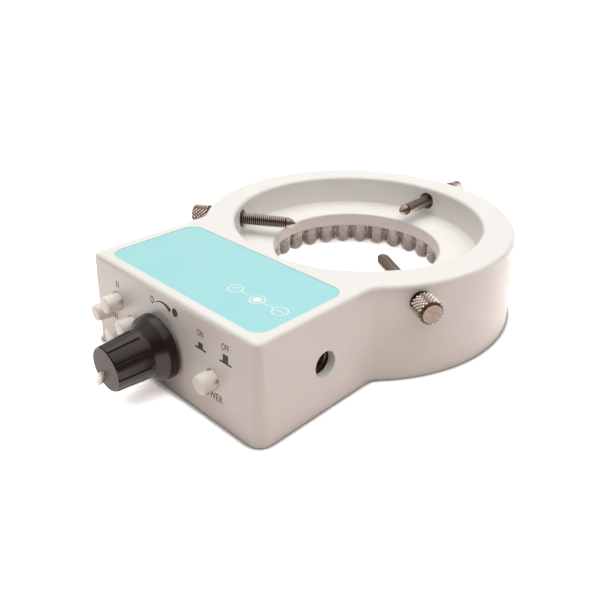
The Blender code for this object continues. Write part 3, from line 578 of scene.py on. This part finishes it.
# Button caps: five round caps in ivory plastic, pressed over the switch stems. Four slots at
# the back let each cap spring into its hole, and show as dark notches next to the panel.
cap_front, cap_round, cap_flare, stem_bore, stem_top = 4.3 * mm, 0.6 * mm, 0.8 * mm, 1.6 * mm, 1.5 * mm
flange_high, flange_low = -3.25 * mm, -4.25 * mm
notch_front, notch_half, notch_turn = 1.0 * mm, 0.65 * mm, math.radians(13)
across, outward, deep = (-notch_half, notch_half), (2.0 * mm, 4.5 * mm), (-5.5 * mm, notch_front)
cap_ivory = new_finish("cap_ivory", (0.975, 0.93, 0.865), 0.42)
mottle(cap_ivory, (0.97, 0.92, 0.855), (0.98, 0.94, 0.875), 3 * mm)
grain(cap_ivory, 0.3 * mm, 0.003 * mm)
for name, (x, z) in button_spots.items():
    radius = 2.75 * mm if name == "power" else 2.7 * mm
    rim, tip = radius + cap_flare, radius - 0.2 * mm
    profile = [(0, cap_front), (1.2 * mm, cap_front - 0.02 * mm)]
    profile += arc((tip - cap_round, cap_front - 0.65 * mm), cap_round, 90, 5, 7)
    profile += [(radius, 0), (radius, flange_high), (rim, flange_high), (rim, flange_low)]
    profile += [(stem_bore, flange_low), (stem_bore, stem_top), (0, stem_top)]
    cap = lathe(f"{name}_button", profile, 64)
    for quarter in range(4):
        notch = box("notch", outward, across, deep)
        combine(cap, place(notch, (0, 0, 0), (0, 0, notch_turn + quarter * pi / 2)))
    place(cap, (x * mm, -panel_face, z * mm), panel_turn)
    smooth(cap)
    coat(cap, cap_ivory)
    fit(cap, f"{name}_button", "button_plastic", f"{name}_cap")

# Knob: a skirted control knob in black plastic with ten grooves for the fingers, moulded
# hollow round its hub, with an ivory pointer let into the face and over its edge.
body_back, body_back_radius = 6.4 * mm, 6.93 * mm
knob_front, body_front_radius, knob_rim = 16.9 * mm, 6.28 * mm, 0.6 * mm
hub_bore, hub_end, hollow_radius, hollow_end, skirt_back = 3.3 * mm, 14.3 * mm, 7.0 * mm, 4.4 * mm, 0.85 * mm
profile = [(0, hub_end), (hub_bore, hub_end), (hub_bore, hollow_end), (hollow_radius, hollow_end)]
profile += [(hollow_radius, skirt_back)] + arc((9.05 * mm, skirt_back + 0.3 * mm), 0.3 * mm, -90, 0, 4)
profile += arc((8.70 * mm, 3.35 * mm), 0.35 * mm, 5, 50, 4)
profile += [(body_back_radius + 0.12 * mm, body_back - 0.1 * mm), (body_back_radius, body_back + 0.1 * mm)]
profile += arc((body_front_radius - knob_rim, knob_front - knob_rim), knob_rim, 4, 84, 6)
profile += [(0, knob_front)]
knob = lathe("dimmer_grip", profile, 160)
groove_radius, groove_sunk, groove_end = 0.42 * mm, 0.08 * mm, body_back + 1.65 * mm


def body_radius(station):
    """The radius of the knob's tapered body at a distance from the panel."""
    share = (station - body_back) / (knob_front - body_back)
    return body_back_radius + share * (body_front_radius - body_back_radius)


bpy.ops.object.select_all(action="DESELECT")
bpy.ops.mesh.primitive_uv_sphere_add(segments=20, ring_count=10, radius=groove_radius)
groove = bpy.context.object
place(groove, (body_radius(groove_end) - groove_sunk, 0, groove_end))
edit(groove)
pick(groove, lambda v: v.co.z > groove_end + hair)
groove_far = knob_front + beyond
taper = body_radius(groove_far) - body_radius(groove_end)
bpy.ops.transform.translate(value=(taper, 0, groove_far - groove_end))
done()
grooves = copies(groove, "grooves", [(0, 0, 0, math.radians(36 * i - 3)) for i in range(10)])
bpy.data.objects.remove(groove, do_unlink=True)
combine(knob, grooves)
pointer_turn, pointer_half, pointer_proud = math.radians(-128), 0.9 * mm, 0.95 * mm
pointer_start, pointer_point, pointer_end = 1.4 * mm, 1.3 * mm, 8.8 * mm
pointer_leg, leg_depth, slot_end, clearance = 5.6 * mm, 4.5 * mm, 8 * mm, 0.05 * mm
bed = (-pointer_half - clearance, pointer_half + clearance)
for slot_start, slot_depth in ((2.2 * mm, 0.9 * mm), (pointer_leg - clearance, leg_depth + 0.1 * mm)):
    slot = box("pointer_slot", (slot_start, slot_end), bed, (knob_front - slot_depth, knob_front + beyond))
    combine(knob, place(slot, (0, 0, 0), (0, 0, pointer_turn)))
place(knob, (knob_x, -panel_face, knob_z), panel_turn)
smooth(knob)
knob_black = new_finish("knob_black", (0.016, 0.011, 0.009), 0.26)
mottle(knob_black, (0.014, 0.009, 0.0075), (0.020, 0.014, 0.012), 4 * mm)
knob_shader = knob_black.node_tree.nodes["Principled BSDF"]
knob_shader.inputs["Specular IOR Level"].default_value = 0.27
knob_shader.inputs["Specular Tint"].default_value = (1.0, 0.86, 0.80, 1)
grain(knob_black, 0.18 * mm, 0.004 * mm)
# Partly real, partly painted sheen: the face has a rougher texture than the body, and a lighter colour than
# the same black plastic to stand in for the sheen it shows.
knob_face_with_painted_sheen = new_finish("knob_face_with_painted_sheen", (0.050, 0.036, 0.032), 0.55)
mottle(knob_face_with_painted_sheen, (0.045, 0.032, 0.028), (0.056, 0.041, 0.036), 2 * mm)
face_shader = knob_face_with_painted_sheen.node_tree.nodes["Principled BSDF"]
face_shader.inputs["Specular IOR Level"].default_value = 0.2
face_shader.inputs["Specular Tint"].default_value = (1.0, 0.88, 0.83, 1)
grain(knob_face_with_painted_sheen, 0.12 * mm, 0.006 * mm)
coat(knob, knob_black, knob_face_with_painted_sheen)
edit(knob, "FACE")
front_y = -(panel_face + knob_front)
pick(knob, lambda f: f.calc_center_median().y < front_y + 0.2 * mm and f.normal.y < -0.99, "faces")
knob.active_material_index = 1
bpy.ops.object.material_slot_assign()
done()
fit(knob, "dimmer_knob", "knob_plastic", "knob")

pointer = pen("pointer_bar", (pointer_start, 0, knob_front - 0.8 * mm))
straight = pointer_end - pointer_half - pointer_start - pointer_point
draw((pointer_point, -pointer_half, 0))
draw((straight, 0, 0))
sweep((pointer_end - pointer_half, 0), pi, 10)
draw((-straight, 0, 0))
close_outline(pointer)
raise_to([(0, 0.5 * mm + pointer_proud), (0.12 * mm, 0.2 * mm), (0.25 * mm, 0.1 * mm)])
pick(pointer, lambda v: v.co.x > 7 * mm and v.co.z > knob_front)
bpy.ops.transform.translate(value=(0, 0, -0.45 * mm))
done()
leg_reach = (knob_front - leg_depth, knob_front - 0.5 * mm)
leg = box("leg", (pointer_leg, slot_end - 0.1 * mm), (-0.6 * mm, 0.6 * mm), leg_reach)
combine(pointer, leg, "UNION")
place(pointer, (0, 0, 0), (0, 0, pointer_turn))
place(pointer, (knob_x, -panel_face, knob_z), panel_turn)
smooth(pointer)
pointer_ivory = new_finish("pointer_ivory", (0.82, 0.79, 0.71), 0.35)
mottle(pointer_ivory, (0.81, 0.78, 0.70), (0.84, 0.81, 0.735), 1.5 * mm)
coat(pointer, pointer_ivory)
fit(pointer, "dimmer_knob", "pointer_plastic", "knob_pointer")

# Printed marks: dark ink, screen-printed on the panel. A scale that grows from 0 for the
# dimmer, I to IV for the four quarters, and ON, OFF and POWER round the power button, with
# two pictograms of its heights.
panel_lean = math.atan(draft / height)
ink_thickness = 0.03 * mm
marks = []


def print_word(word, x, z, tall, squeeze=0.62):
    """A word of a given letter height, centred on a spot of the panel."""
    bpy.ops.object.select_all(action="DESELECT")
    bpy.ops.object.text_add()
    text = bpy.context.object
    text.data.body, text.data.size = word, tall * mm / 0.73
    text.data.align_x, text.data.align_y = "CENTER", "CENTER"
    text.data.extrude = ink_thickness
    bpy.ops.object.convert(target="MESH")
    text.scale = (squeeze, 1, 1)
    edit(place(text, (x * mm, z * mm, 0)))
    bpy.ops.mesh.select_all(action="SELECT")
    bpy.ops.mesh.remove_doubles(threshold=0.001 * mm)
    face_out()
    done()
    marks.append(text)


def print_block(x, z):
    """A filled bar of a pictogram, between two pairs of limits in millimetres."""
    marks.append(box("block", [a * mm for a in x], [a * mm for a in z], (-ink_thickness, ink_thickness)))


for word, x, z in (("II", -22.5, 23.0), ("III", -25.1, 12.1), ("I", -19.2, 12.1), ("IV", -22.8, 2.9)):
    print_word(word, x, z, 2.1, 1.2)
print_word("0", -5.35, 24.85, 2.25, 1.1)
print_word("ON", 15.0, 23.4, 1.9)
print_word("OFF", 24.5, 23.6, 1.9)
print_word("POWER", 19.25, 7.8, 2.3, 0.76)
print_block((12.8, 17.2), (18.9, 19.4))
print_block((14.1, 15.9), (19.35, 20.9))
print_block((22.4, 26.8), (19.2, 19.7))
print_block((23.6, 25.6), (19.65, 21.8))
dot_radius = 1.15 * mm
profile = [(0, -ink_thickness), (dot_radius, -ink_thickness), (dot_radius, ink_thickness), (0, ink_thickness)]
marks.append(place(lathe("dial_dot", profile, 32), (4.68 * mm, 25.05 * mm, 0)))
scale_steps, scale_x, scale_z, scale_radius = 18, -0.63 * mm, 20.42 * mm, 5.43 * mm
over, under = [], []
for i in range(scale_steps + 1):
    share = i / scale_steps
    turn, half = math.radians(124 - 72 * share), (0.12 + 0.62 * share**2) * mm
    for edge, radius in ((over, scale_radius + half), (under, scale_radius - half)):
        edge.append((scale_x + radius * math.cos(turn), scale_z + radius * math.sin(turn)))
path = over + under[::-1]
scale_arc = pen("scale_arc", (*path[0], -ink_thickness))
for before, after in zip(path, path[1:]):
    draw((after[0] - before[0], after[1] - before[1], 0))
close_outline(scale_arc)
raise_to([(0, 2 * ink_thickness)])
done()
marks.append(scale_arc)
marks = join("printed_marks", marks)
place(marks, (0, -(box_front + draft), 0), (pi / 2 - panel_lean, 0, 0))
dark_ink = new_finish("dark_ink", (0.014, 0.010, 0.009), 0.7)
mottle(dark_ink, (0.011, 0.008, 0.007), (0.018, 0.013, 0.012), 1.5 * mm)
coat(marks, dark_ink)
fit(marks, "light", "black_plastic")

# DC socket: a barrel socket moulded in black plastic behind the hole in the right wall, with
# a round bore, a lead-in chamfer and a plated centre pin.
socket_face, socket_length, socket_half_y, socket_half_z = 33.2 * mm, 14 * mm, 4.5 * mm, 5.5 * mm
bore_depth, socket_bore, lead_in, pin_radius, pin_tip = 9.5 * mm, 3.1 * mm, 0.5 * mm, 1.0 * mm, 0.4 * mm
width = (inlet_y - socket_half_y, inlet_y + socket_half_y)
tall = (inlet_z - socket_half_z, inlet_z + socket_half_z)
socket = box("inlet_socket", (socket_face - socket_length, socket_face), width, tall)
choose(socket)
rounding = socket.modifiers.new("rounding", "BEVEL")
rounding.width, rounding.segments = 0.35 * mm, 3
bpy.ops.object.modifier_apply(modifier=rounding.name)
profile = [(0, -bore_depth), (socket_bore, -bore_depth), (socket_bore, -0.35 * mm)]
profile += [(socket_bore + lead_in, lead_in - 0.35 * mm), (socket_bore + lead_in, beyond), (0, beyond)]
combine(socket, place(lathe("socket_bore", profile, 56), (socket_face, inlet_y, inlet_z), inlet_turn))
smooth(socket)
socket_black = new_finish("socket_black", (0.05, 0.038, 0.031), 0.4)
mottle(socket_black, (0.045, 0.034, 0.028), (0.058, 0.044, 0.036), 2 * mm)
grain(socket_black, 0.15 * mm, 0.005 * mm)
coat(socket, socket_black)
fit(socket, "light", "black_plastic", "dc_jack")
pin_back, pin_front = -bore_depth - beyond, -1.2 * mm
profile = [(0, pin_back), (pin_radius, pin_back)]
profile += arc((pin_radius - pin_tip, pin_front - pin_tip), pin_tip, 0, 90, 5) + [(0, pin_front)]
pin = place(lathe("centre_pin", profile, 32), (socket_face, inlet_y, inlet_z), inlet_turn)
smooth(pin)
coat(pin, zinc)
fit(pin, "light", "plated_steel")

# Inserts: three bushes turned in brass and pressed into the ring's bosses, one for each
# thumbscrew to run in. They keep the solids' shapes.
brass = new_finish("brass", (0.60, 0.42, 0.18), 0.35, 1.0)
mottle(brass, (0.56, 0.39, 0.16), (0.64, 0.46, 0.21), 1.2 * mm)
grain(brass, 0.12 * mm, 0.004 * mm)
for number in (1, 2, 3):
    dress(f"screw_insert_{number}", brass)

# Thumbscrews: three M4 screws in dark nickel-plated steel, with a diamond-knurled head, a
# dull turned face and a full thread. A smooth nose in each tip bears on the lens barrel.
# Much of their darkness is painted shade: occlusion darkens the knurl's valleys and the
# thread's roots, and the face, the head's chamfers and the nose carry darker copies of the steel.
seats = (54.5 * mm, 51.5 * mm, 51.5 * mm)
head_length, head_radius, face_radius, knurl_depth = 6.2 * mm, 3.5 * mm, 2.7 * mm, 0.38 * mm
knurl_columns, knurl_rows, knurl_low, knurl_high = 36, 8, 0.45 * mm, 5.55 * mm
thread_bore, bore_end = 1.3 * mm, 3 * mm
row_height = (knurl_high - knurl_low) / knurl_rows
profile = [(0, head_length), (face_radius, head_length)]
profile += [(head_radius, knurl_high - i * row_height) for i in range(knurl_rows + 1)]
profile += [(head_radius - knurl_low, 0), (thread_bore, 0), (thread_bore, bore_end), (0, bore_end)]
thumbscrew = lathe("thumbscrew", profile, knurl_columns)


def valley(vertex):
    """Every other vertex of the knurled band, like the black squares of a chessboard."""
    x, y, z = vertex.co
    column = round(math.atan2(y, x) / (2 * pi / knurl_columns))
    row = round((z - knurl_low) / row_height)
    on_band = math.hypot(x, y) > head_radius - hair and -1 < row <= knurl_rows
    return on_band and (column + row) % 2


edit(thumbscrew)
pick(thumbscrew, valley)
sunk = (head_radius - knurl_depth) / head_radius
bpy.ops.transform.resize(value=(sunk, sunk, 1), center_override=(0, 0, 0))
bpy.ops.mesh.select_mode(type="FACE")
pick(thumbscrew, lambda f: knurl_low < f.calc_center_median().z < knurl_high, "faces")
bpy.ops.mesh.quads_convert_to_tris(quad_method="SHORTEST_DIAGONAL")
done()
thread_root, thread_depth, thread_pitch, thread_turns = 1.57 * mm, 0.43 * mm, 0.7 * mm, 43
thread_end, thread_top, start_below, turn_steps = -27.3 * mm, 1.0 * mm, 1.055 * mm, 28
thread = pen("thread", (thread_root, 0, thread_end - start_below))
for out, up in ((0, 0.10 * mm), (thread_depth, 0.21 * mm), (0, 0.18 * mm), (-thread_depth, 0.21 * mm)):
    draw((out, 0, up))
done()
choose(thread)
helix = thread.modifiers.new("helix", "SCREW")
helix.screw_offset, helix.iterations = thread_pitch, thread_turns
helix.steps, helix.render_steps = turn_steps, turn_steps
bpy.ops.object.modifier_apply(modifier=helix.name)
edit(thread)
bpy.ops.mesh.select_all(action="SELECT")
bpy.ops.mesh.remove_doubles(threshold=0.002 * mm)
for cut_z, below in ((thread_end, True), (thread_top, False)):
    bpy.ops.mesh.select_all(action="SELECT")
    bpy.ops.mesh.bisect(
        plane_co=(0, 0, cut_z),
        plane_no=(0, 0, 1),
        use_fill=True,
        clear_inner=below,
        clear_outer=not below,
        threshold=0.001 * mm,
    )
face_out()
done()
combine(thumbscrew, thread, "UNION")
nose_seat, nose_stem, stem_gap = thread_end + 2.5 * mm, 0.7 * mm, 0.3 * mm
seat_radius, seat_open = nose_stem + stem_gap, thread_end - beyond
profile = [(0, seat_open), (seat_radius, seat_open), (seat_radius, nose_seat), (0, nose_seat)]
combine(thumbscrew, lathe("nose_seat", profile, 32))
smooth(thumbscrew, 28)


def paint_shade_in_hollows(finish, reach, power, dark):
    """Leaves a finish its colour on the crests and paints shade into the hollows, where occlusion darkens it.
    """
    shader = finish.node_tree.nodes["Principled BSDF"]
    hollow = add_node(finish, "ShaderNodeAmbientOcclusion", samples=8, Distance=reach)
    deepen_shade = add_node(finish, "ShaderNodeMath", operation="POWER")
    deepen_shade.inputs[1].default_value = power
    blend = add_node(finish, "ShaderNodeMix", data_type="RGBA")
    blend.inputs[6].default_value = (*dark, 1)
    finish.node_tree.links.new(shader.inputs["Base Color"].links[0].from_socket, blend.inputs[7])
    connect(finish, (hollow, "AO"), (deepen_shade, 0), (deepen_shade, 0), (blend, 0), (blend, 2), (shader, "Base Color"))


# Painted shade: both steels are darkened in their hollows by occlusion, the knurl's valleys and the thread's
# roots.
knurl_steel = new_finish("knurl_steel", (0.84, 0.69, 0.60), 0.2, 1.0)
mottle(knurl_steel, (0.78, 0.64, 0.555), (0.90, 0.75, 0.66), 0.9 * mm)
paint_shade_in_hollows(knurl_steel, 0.7 * mm, 4.5, (0.030, 0.018, 0.013))
thread_steel = new_finish("thread_steel", (0.50, 0.40, 0.34), 0.27, 1.0)
mottle(thread_steel, (0.45, 0.355, 0.30), (0.56, 0.45, 0.385), 0.9 * mm)
paint_shade_in_hollows(thread_steel, 0.5 * mm, 5.0, (0.035, 0.022, 0.016))
grain(thread_steel, 0.10 * mm, 0.006 * mm)
# Partly real, partly painted shade: the turned face is rougher than the knurl, and its colour is a much
# darker copy of the same steel.
shaded_turned_face = new_finish("shaded_turned_face", (0.135, 0.098, 0.081), 0.36, 1.0)
mottle(shaded_turned_face, (0.12, 0.086, 0.071), (0.152, 0.112, 0.093), 1.1 * mm)
grain(shaded_turned_face, 0.08 * mm, 0.006 * mm)
# Painted shade: the nose has a darker copy of the screw's steel, standing in for the dark reflection on its
# cone.
shaded_nose_steel = new_finish("shaded_nose_steel", (0.20, 0.155, 0.13), 0.32, 1.0)
mottle(shaded_nose_steel, (0.175, 0.135, 0.112), (0.23, 0.18, 0.15), 0.9 * mm)
grain(shaded_nose_steel, 0.08 * mm, 0.004 * mm)
# Painted shade: the head's two chamfers get a far darker copy of the same steel, standing in for the dark
# reflection they show.
chamfer_painted_shade = new_finish("chamfer_painted_shade", (0.05, 0.035, 0.028), 0.45, 1.0)
mottle(chamfer_painted_shade, (0.04, 0.028, 0.022), (0.065, 0.046, 0.037), 0.6 * mm)
coat(thumbscrew, thread_steel, shaded_turned_face, knurl_steel, chamfer_painted_shade)
edit(thumbscrew, "FACE")
# The head's faces by height: the turned face, the knurl, and the two chamfers in their painted shade.
for number, low, high in (
    (1, head_length - hair, head_length + beyond),
    (2, 0, knurl_high),
    (3, knurl_high, head_length - hair),
    (3, -1.5 * mm, knurl_low),
):
    pick(thumbscrew, lambda f: low < f.calc_center_median().z < high, "faces")
    thumbscrew.active_material_index = number
    bpy.ops.object.material_slot_assign()
done()
shoulder = thread_end - stem_gap
nose_tip, nose_end_radius = shoulder - 2.9 * mm, 0.85 * mm
profile = [(0, nose_seat - stem_gap), (nose_stem, nose_seat - stem_gap), (nose_stem, shoulder)]
profile += [(1.75 * mm, shoulder), (1.87 * mm, shoulder - 0.12 * mm), (1.62 * mm, shoulder - 1.0 * mm)]
profile += [(1.25 * mm, shoulder - 1.85 * mm)]
profile += arc((0, nose_tip + nose_end_radius), nose_end_radius, -8, -90, 7)
nose = lathe("thumbscrew_nose", profile, 48)
smooth(nose)
coat(nose, shaded_nose_steel)
for number, (angle, seat) in enumerate(zip(screw_angles, seats), 1):
    around = math.radians(angle)
    spot = (seat * math.cos(around), seat * math.sin(around), screw_height)
    for model, kind, body, node in (
        (thumbscrew, "knurled_screw", f"screw_{number}", f"thumbscrew_{number}"),
        (nose, "screw_nose", f"screw_{number}_nose", f"thumbscrew_nose_{number}"),
    ):
        twin = model.copy()
        twin.data = model.data.copy()
        twin.name = twin.data.name = f"{kind}_{number}"
        bpy.context.collection.objects.link(twin)
        place(twin, spot, (0, pi / 2, around))
        fit(twin, body, "screw_steel", node)
for model in (thumbscrew, nose):
    bpy.data.objects.remove(model, do_unlink=True)

# Bottom cover: a flat plate moulded in ivory ABS, which closes the control box from below.
# Two countersunk cross-recess screws hold it to the posts.
cover_low, cover_high = 0.35 * mm, 2.35 * mm
inward = draft_at(cover_high) - wall - gap
half_x, front = box_half_width + inward, box_front + inward
corner = inner_corner_radius + draft_at(cover_high)
turn = math.acos(half_x / ring_radius)
side_length = front - corner - ring_radius * math.sin(turn)
cover = pen("cover_plate", (-half_x, -ring_radius * math.sin(turn), cover_low))
draw((0, -side_length, 0))
sweep((corner - half_x, corner - front), pi / 2, 8)
draw((2 * (half_x - corner), 0, 0))
sweep((half_x - corner, corner - front), pi / 2, 8)
draw((0, side_length, 0))
sweep((0, 0), 2 * turn - pi, 48)
close_outline(cover)
raise_to([(0, cover_high - cover_low)])
pick(cover, lambda e: all(v.co.z < cover_low + hair for v in e.verts), "edges")
bpy.ops.mesh.bevel(offset=0.25 * mm, segments=2, affect="EDGES")
done()
screw_end, screw_face, cross_depth = 8.8 * mm, cover_low + 0.1 * mm, 1.1 * mm
sink_radius, cover_hole = 3.0 * mm, 1.6 * mm
profile = [(0, screw_face), (2.65 * mm, screw_face), (2.75 * mm, screw_face + 0.1 * mm)]
profile += [(1.3 * mm, cover_low + 1.65 * mm), (1.2 * mm, 8 * mm), (0.7 * mm, screw_end), (0, screw_end)]
cover_screw = lathe("cover_screw", profile, 40)
cross_reach = (cover_low - beyond, cover_low + cross_depth)
for turn in (0, pi / 2):
    cross = box("cross", (-1.5 * mm, 1.5 * mm), (-0.28 * mm, 0.28 * mm), cross_reach)
    combine(cover_screw, place(cross, (0, 0, 0), (0, 0, turn)))
smooth(cover_screw)
spots = [(side * post_x, post_y, 0, side * 0.4) for side in (-1, 1)]
profile = [(0, -beyond), (sink_radius, -beyond), (sink_radius, cover_low + 0.15 * mm)]
profile += [(cover_hole, cover_low + 1.55 * mm), (cover_hole, cover_high + beyond), (0, cover_high + beyond)]
for x, y, z, turn in spots:
    combine(cover, place(lathe("countersink", profile, 40), (x, y, z)))
smooth(cover)
coat(cover, ivory_abs)
fit(cover, "light", "ivory_plastic", "bottom_cover")
cover_screws = copies(cover_screw, "cover_screws", spots)
bpy.data.objects.remove(cover_screw, do_unlink=True)
coat(cover_screws, zinc)
fit(cover_screws, "light", "plated_steel")

# Studio: a plain table and room, with a wide soft lamp above, one behind and a faint one at the
# right. The camera sees both as white, with a thin painted contact shadow where the housing stands:
# the table's colour darkens by occlusion there. A mirroring surface sees the room white behind the
# light and dark on the camera's side.
bpy.ops.object.select_all(action="DESELECT")
bpy.ops.mesh.primitive_plane_add(size=8)
floor = bpy.context.object
floor.name = "floor"
table = bpy.data.materials.new("table")
table.use_nodes = True
table.node_tree.nodes.clear()
rays = add_node(table, "ShaderNodeLightPath")
seen_straight = add_node(table, "ShaderNodeMath", operation="MAXIMUM")
seen = add_node(table, "ShaderNodeMath", operation="MAXIMUM")
connect(table, (rays, "Is Camera Ray"), (seen_straight, 0), (rays, "Is Glossy Ray"), (seen_straight, 1))
connect(table, (seen_straight, 0), (seen, 0), (rays, "Is Transmission Ray"), (seen, 1))
warm = add_node(table, "ShaderNodeBsdfDiffuse", Color=(0.68, 0.52, 0.46, 1))
pale = add_node(table, "ShaderNodeBsdfDiffuse")
# Painted shadow: seen by the camera, the table's colour is darkened by occlusion close to the housing, a thin
# contact shadow painted in.
painted_contact_shadow = add_node(table, "ShaderNodeAmbientOcclusion", samples=8, Distance=2.3 * mm)
deepen_shade = add_node(table, "ShaderNodeMath", operation="POWER")
deepen_shade.inputs[1].default_value = 4.6
strengthen = add_node(table, "ShaderNodeMath", operation="MULTIPLY")
strengthen.inputs[1].default_value = 3.4
connect(table, (painted_contact_shadow, "AO"), (deepen_shade, 0), (deepen_shade, 0), (strengthen, 0), (strengthen, 0), (pale, "Color"))


def fade_between(finish, start, end, first, last):
    """A node that goes evenly from first at start to last at end."""
    fade = add_node(finish, "ShaderNodeMapRange")
    for entry, value in (("From Min", start), ("From Max", end), ("To Min", first), ("To Max", last)):
        fade.inputs[entry].default_value = value
    return fade


spots = add_node(table, "ShaderNodeTexCoord")
reach = add_node(table, "ShaderNodeVectorMath", operation="LENGTH")
rise = fade_between(table, 0.14, 0.4, 0.10, 1.0)
fall = fade_between(table, 0.040, 0.050, 1.0, 0.0)
either = add_node(table, "ShaderNodeMath", operation="MAXIMUM")
lift = add_node(table, "ShaderNodeEmission", Color=(1, 1, 1, 1))
lit = add_node(table, "ShaderNodeAddShader")
mixed = add_node(table, "ShaderNodeMixShader")
outcome = add_node(table, "ShaderNodeOutputMaterial")
connect(table, (spots, "Object"), (reach, 0))
connect(table, (reach, "Value"), (rise, "Value"), (reach, "Value"), (fall, "Value"))
connect(table, (rise, "Result"), (either, 0), (fall, "Result"), (either, 1), (either, 0), (lift, "Strength"))
connect(table, (pale, "BSDF"), (lit, 0), (lift, "Emission"), (lit, 1), (seen, 0), (mixed, "Fac"))
connect(table, (warm, "BSDF"), (mixed, 1), (lit, "Shader"), (mixed, 2))
connect(table, (mixed, "Shader"), (outcome, "Surface"))
floor.data.materials.append(table)

world = bpy.data.worlds.new("studio")
bpy.context.scene.world = world
world.use_nodes = True
world.node_tree.nodes.clear()
rays = add_node(world, "ShaderNodeLightPath")
dim = add_node(world, "ShaderNodeBackground", Color=(1.0, 0.93, 0.88, 1), Strength=0.04)
dark = add_node(world, "ShaderNodeBackground", Color=(1.0, 0.90, 0.84, 1), Strength=0.10)
bright = add_node(world, "ShaderNodeBackground", Color=(1, 1, 1, 1), Strength=1.0)
around = add_node(world, "ShaderNodeTexCoord")
facing = add_node(world, "ShaderNodeVectorMath", operation="DOT_PRODUCT")
facing.inputs[1].default_value = away
fade = fade_between(world, 0.15, 0.45, 1.0, 0.0)
room = add_node(world, "ShaderNodeMixShader")
indirect = add_node(world, "ShaderNodeMixShader")
camera_sees = add_node(world, "ShaderNodeMixShader")
mirrored = add_node(world, "ShaderNodeMath", operation="MAXIMUM")
outcome = add_node(world, "ShaderNodeOutputWorld")
connect(world, (around, "Generated"), (facing, 0), (facing, "Value"), (fade, "Value"))
connect(world, (fade, "Result"), (room, "Fac"))
connect(world, (dark, "Background"), (room, 1), (bright, "Background"), (room, 2))
connect(world, (rays, "Is Glossy Ray"), (mirrored, 0), (rays, "Is Transmission Ray"), (mirrored, 1))
connect(world, (mirrored, 0), (indirect, "Fac"))
connect(world, (dim, "Background"), (indirect, 1), (room, "Shader"), (indirect, 2))
connect(world, (rays, "Is Camera Ray"), (camera_sees, "Fac"), (indirect, "Shader"), (camera_sees, 1))
connect(world, (bright, "Background"), (camera_sees, 2), (camera_sees, "Shader"), (outcome, "Surface"))

aim = Vector((0, -0.02, 0.01))
for name, spot, sizes, power in (
    ("wide_softbox", (0.0, -0.05, 0.8), (1.4, 1.4), 9.4),
    ("back_softbox", (-0.02, 0.18, 0.50), (1.0, 0.5), 1.0),
    ("right_softbox", (0.35, -0.05, 0.25), (0.3, 0.3), 0.04),
):
    bpy.ops.object.light_add(type="AREA", location=spot)
    softbox = bpy.context.object
    softbox.name = name
    softbox.rotation_euler = (Vector(spot) - aim).to_track_quat("Z", "Y").to_euler()
    softbox.data.shape, softbox.data.size, softbox.data.size_y = "RECTANGLE", *sizes
    softbox.data.energy, softbox.data.color = power, (1.0, 0.985, 0.97)
bpy.context.scene.view_settings.view_transform = "Standard"
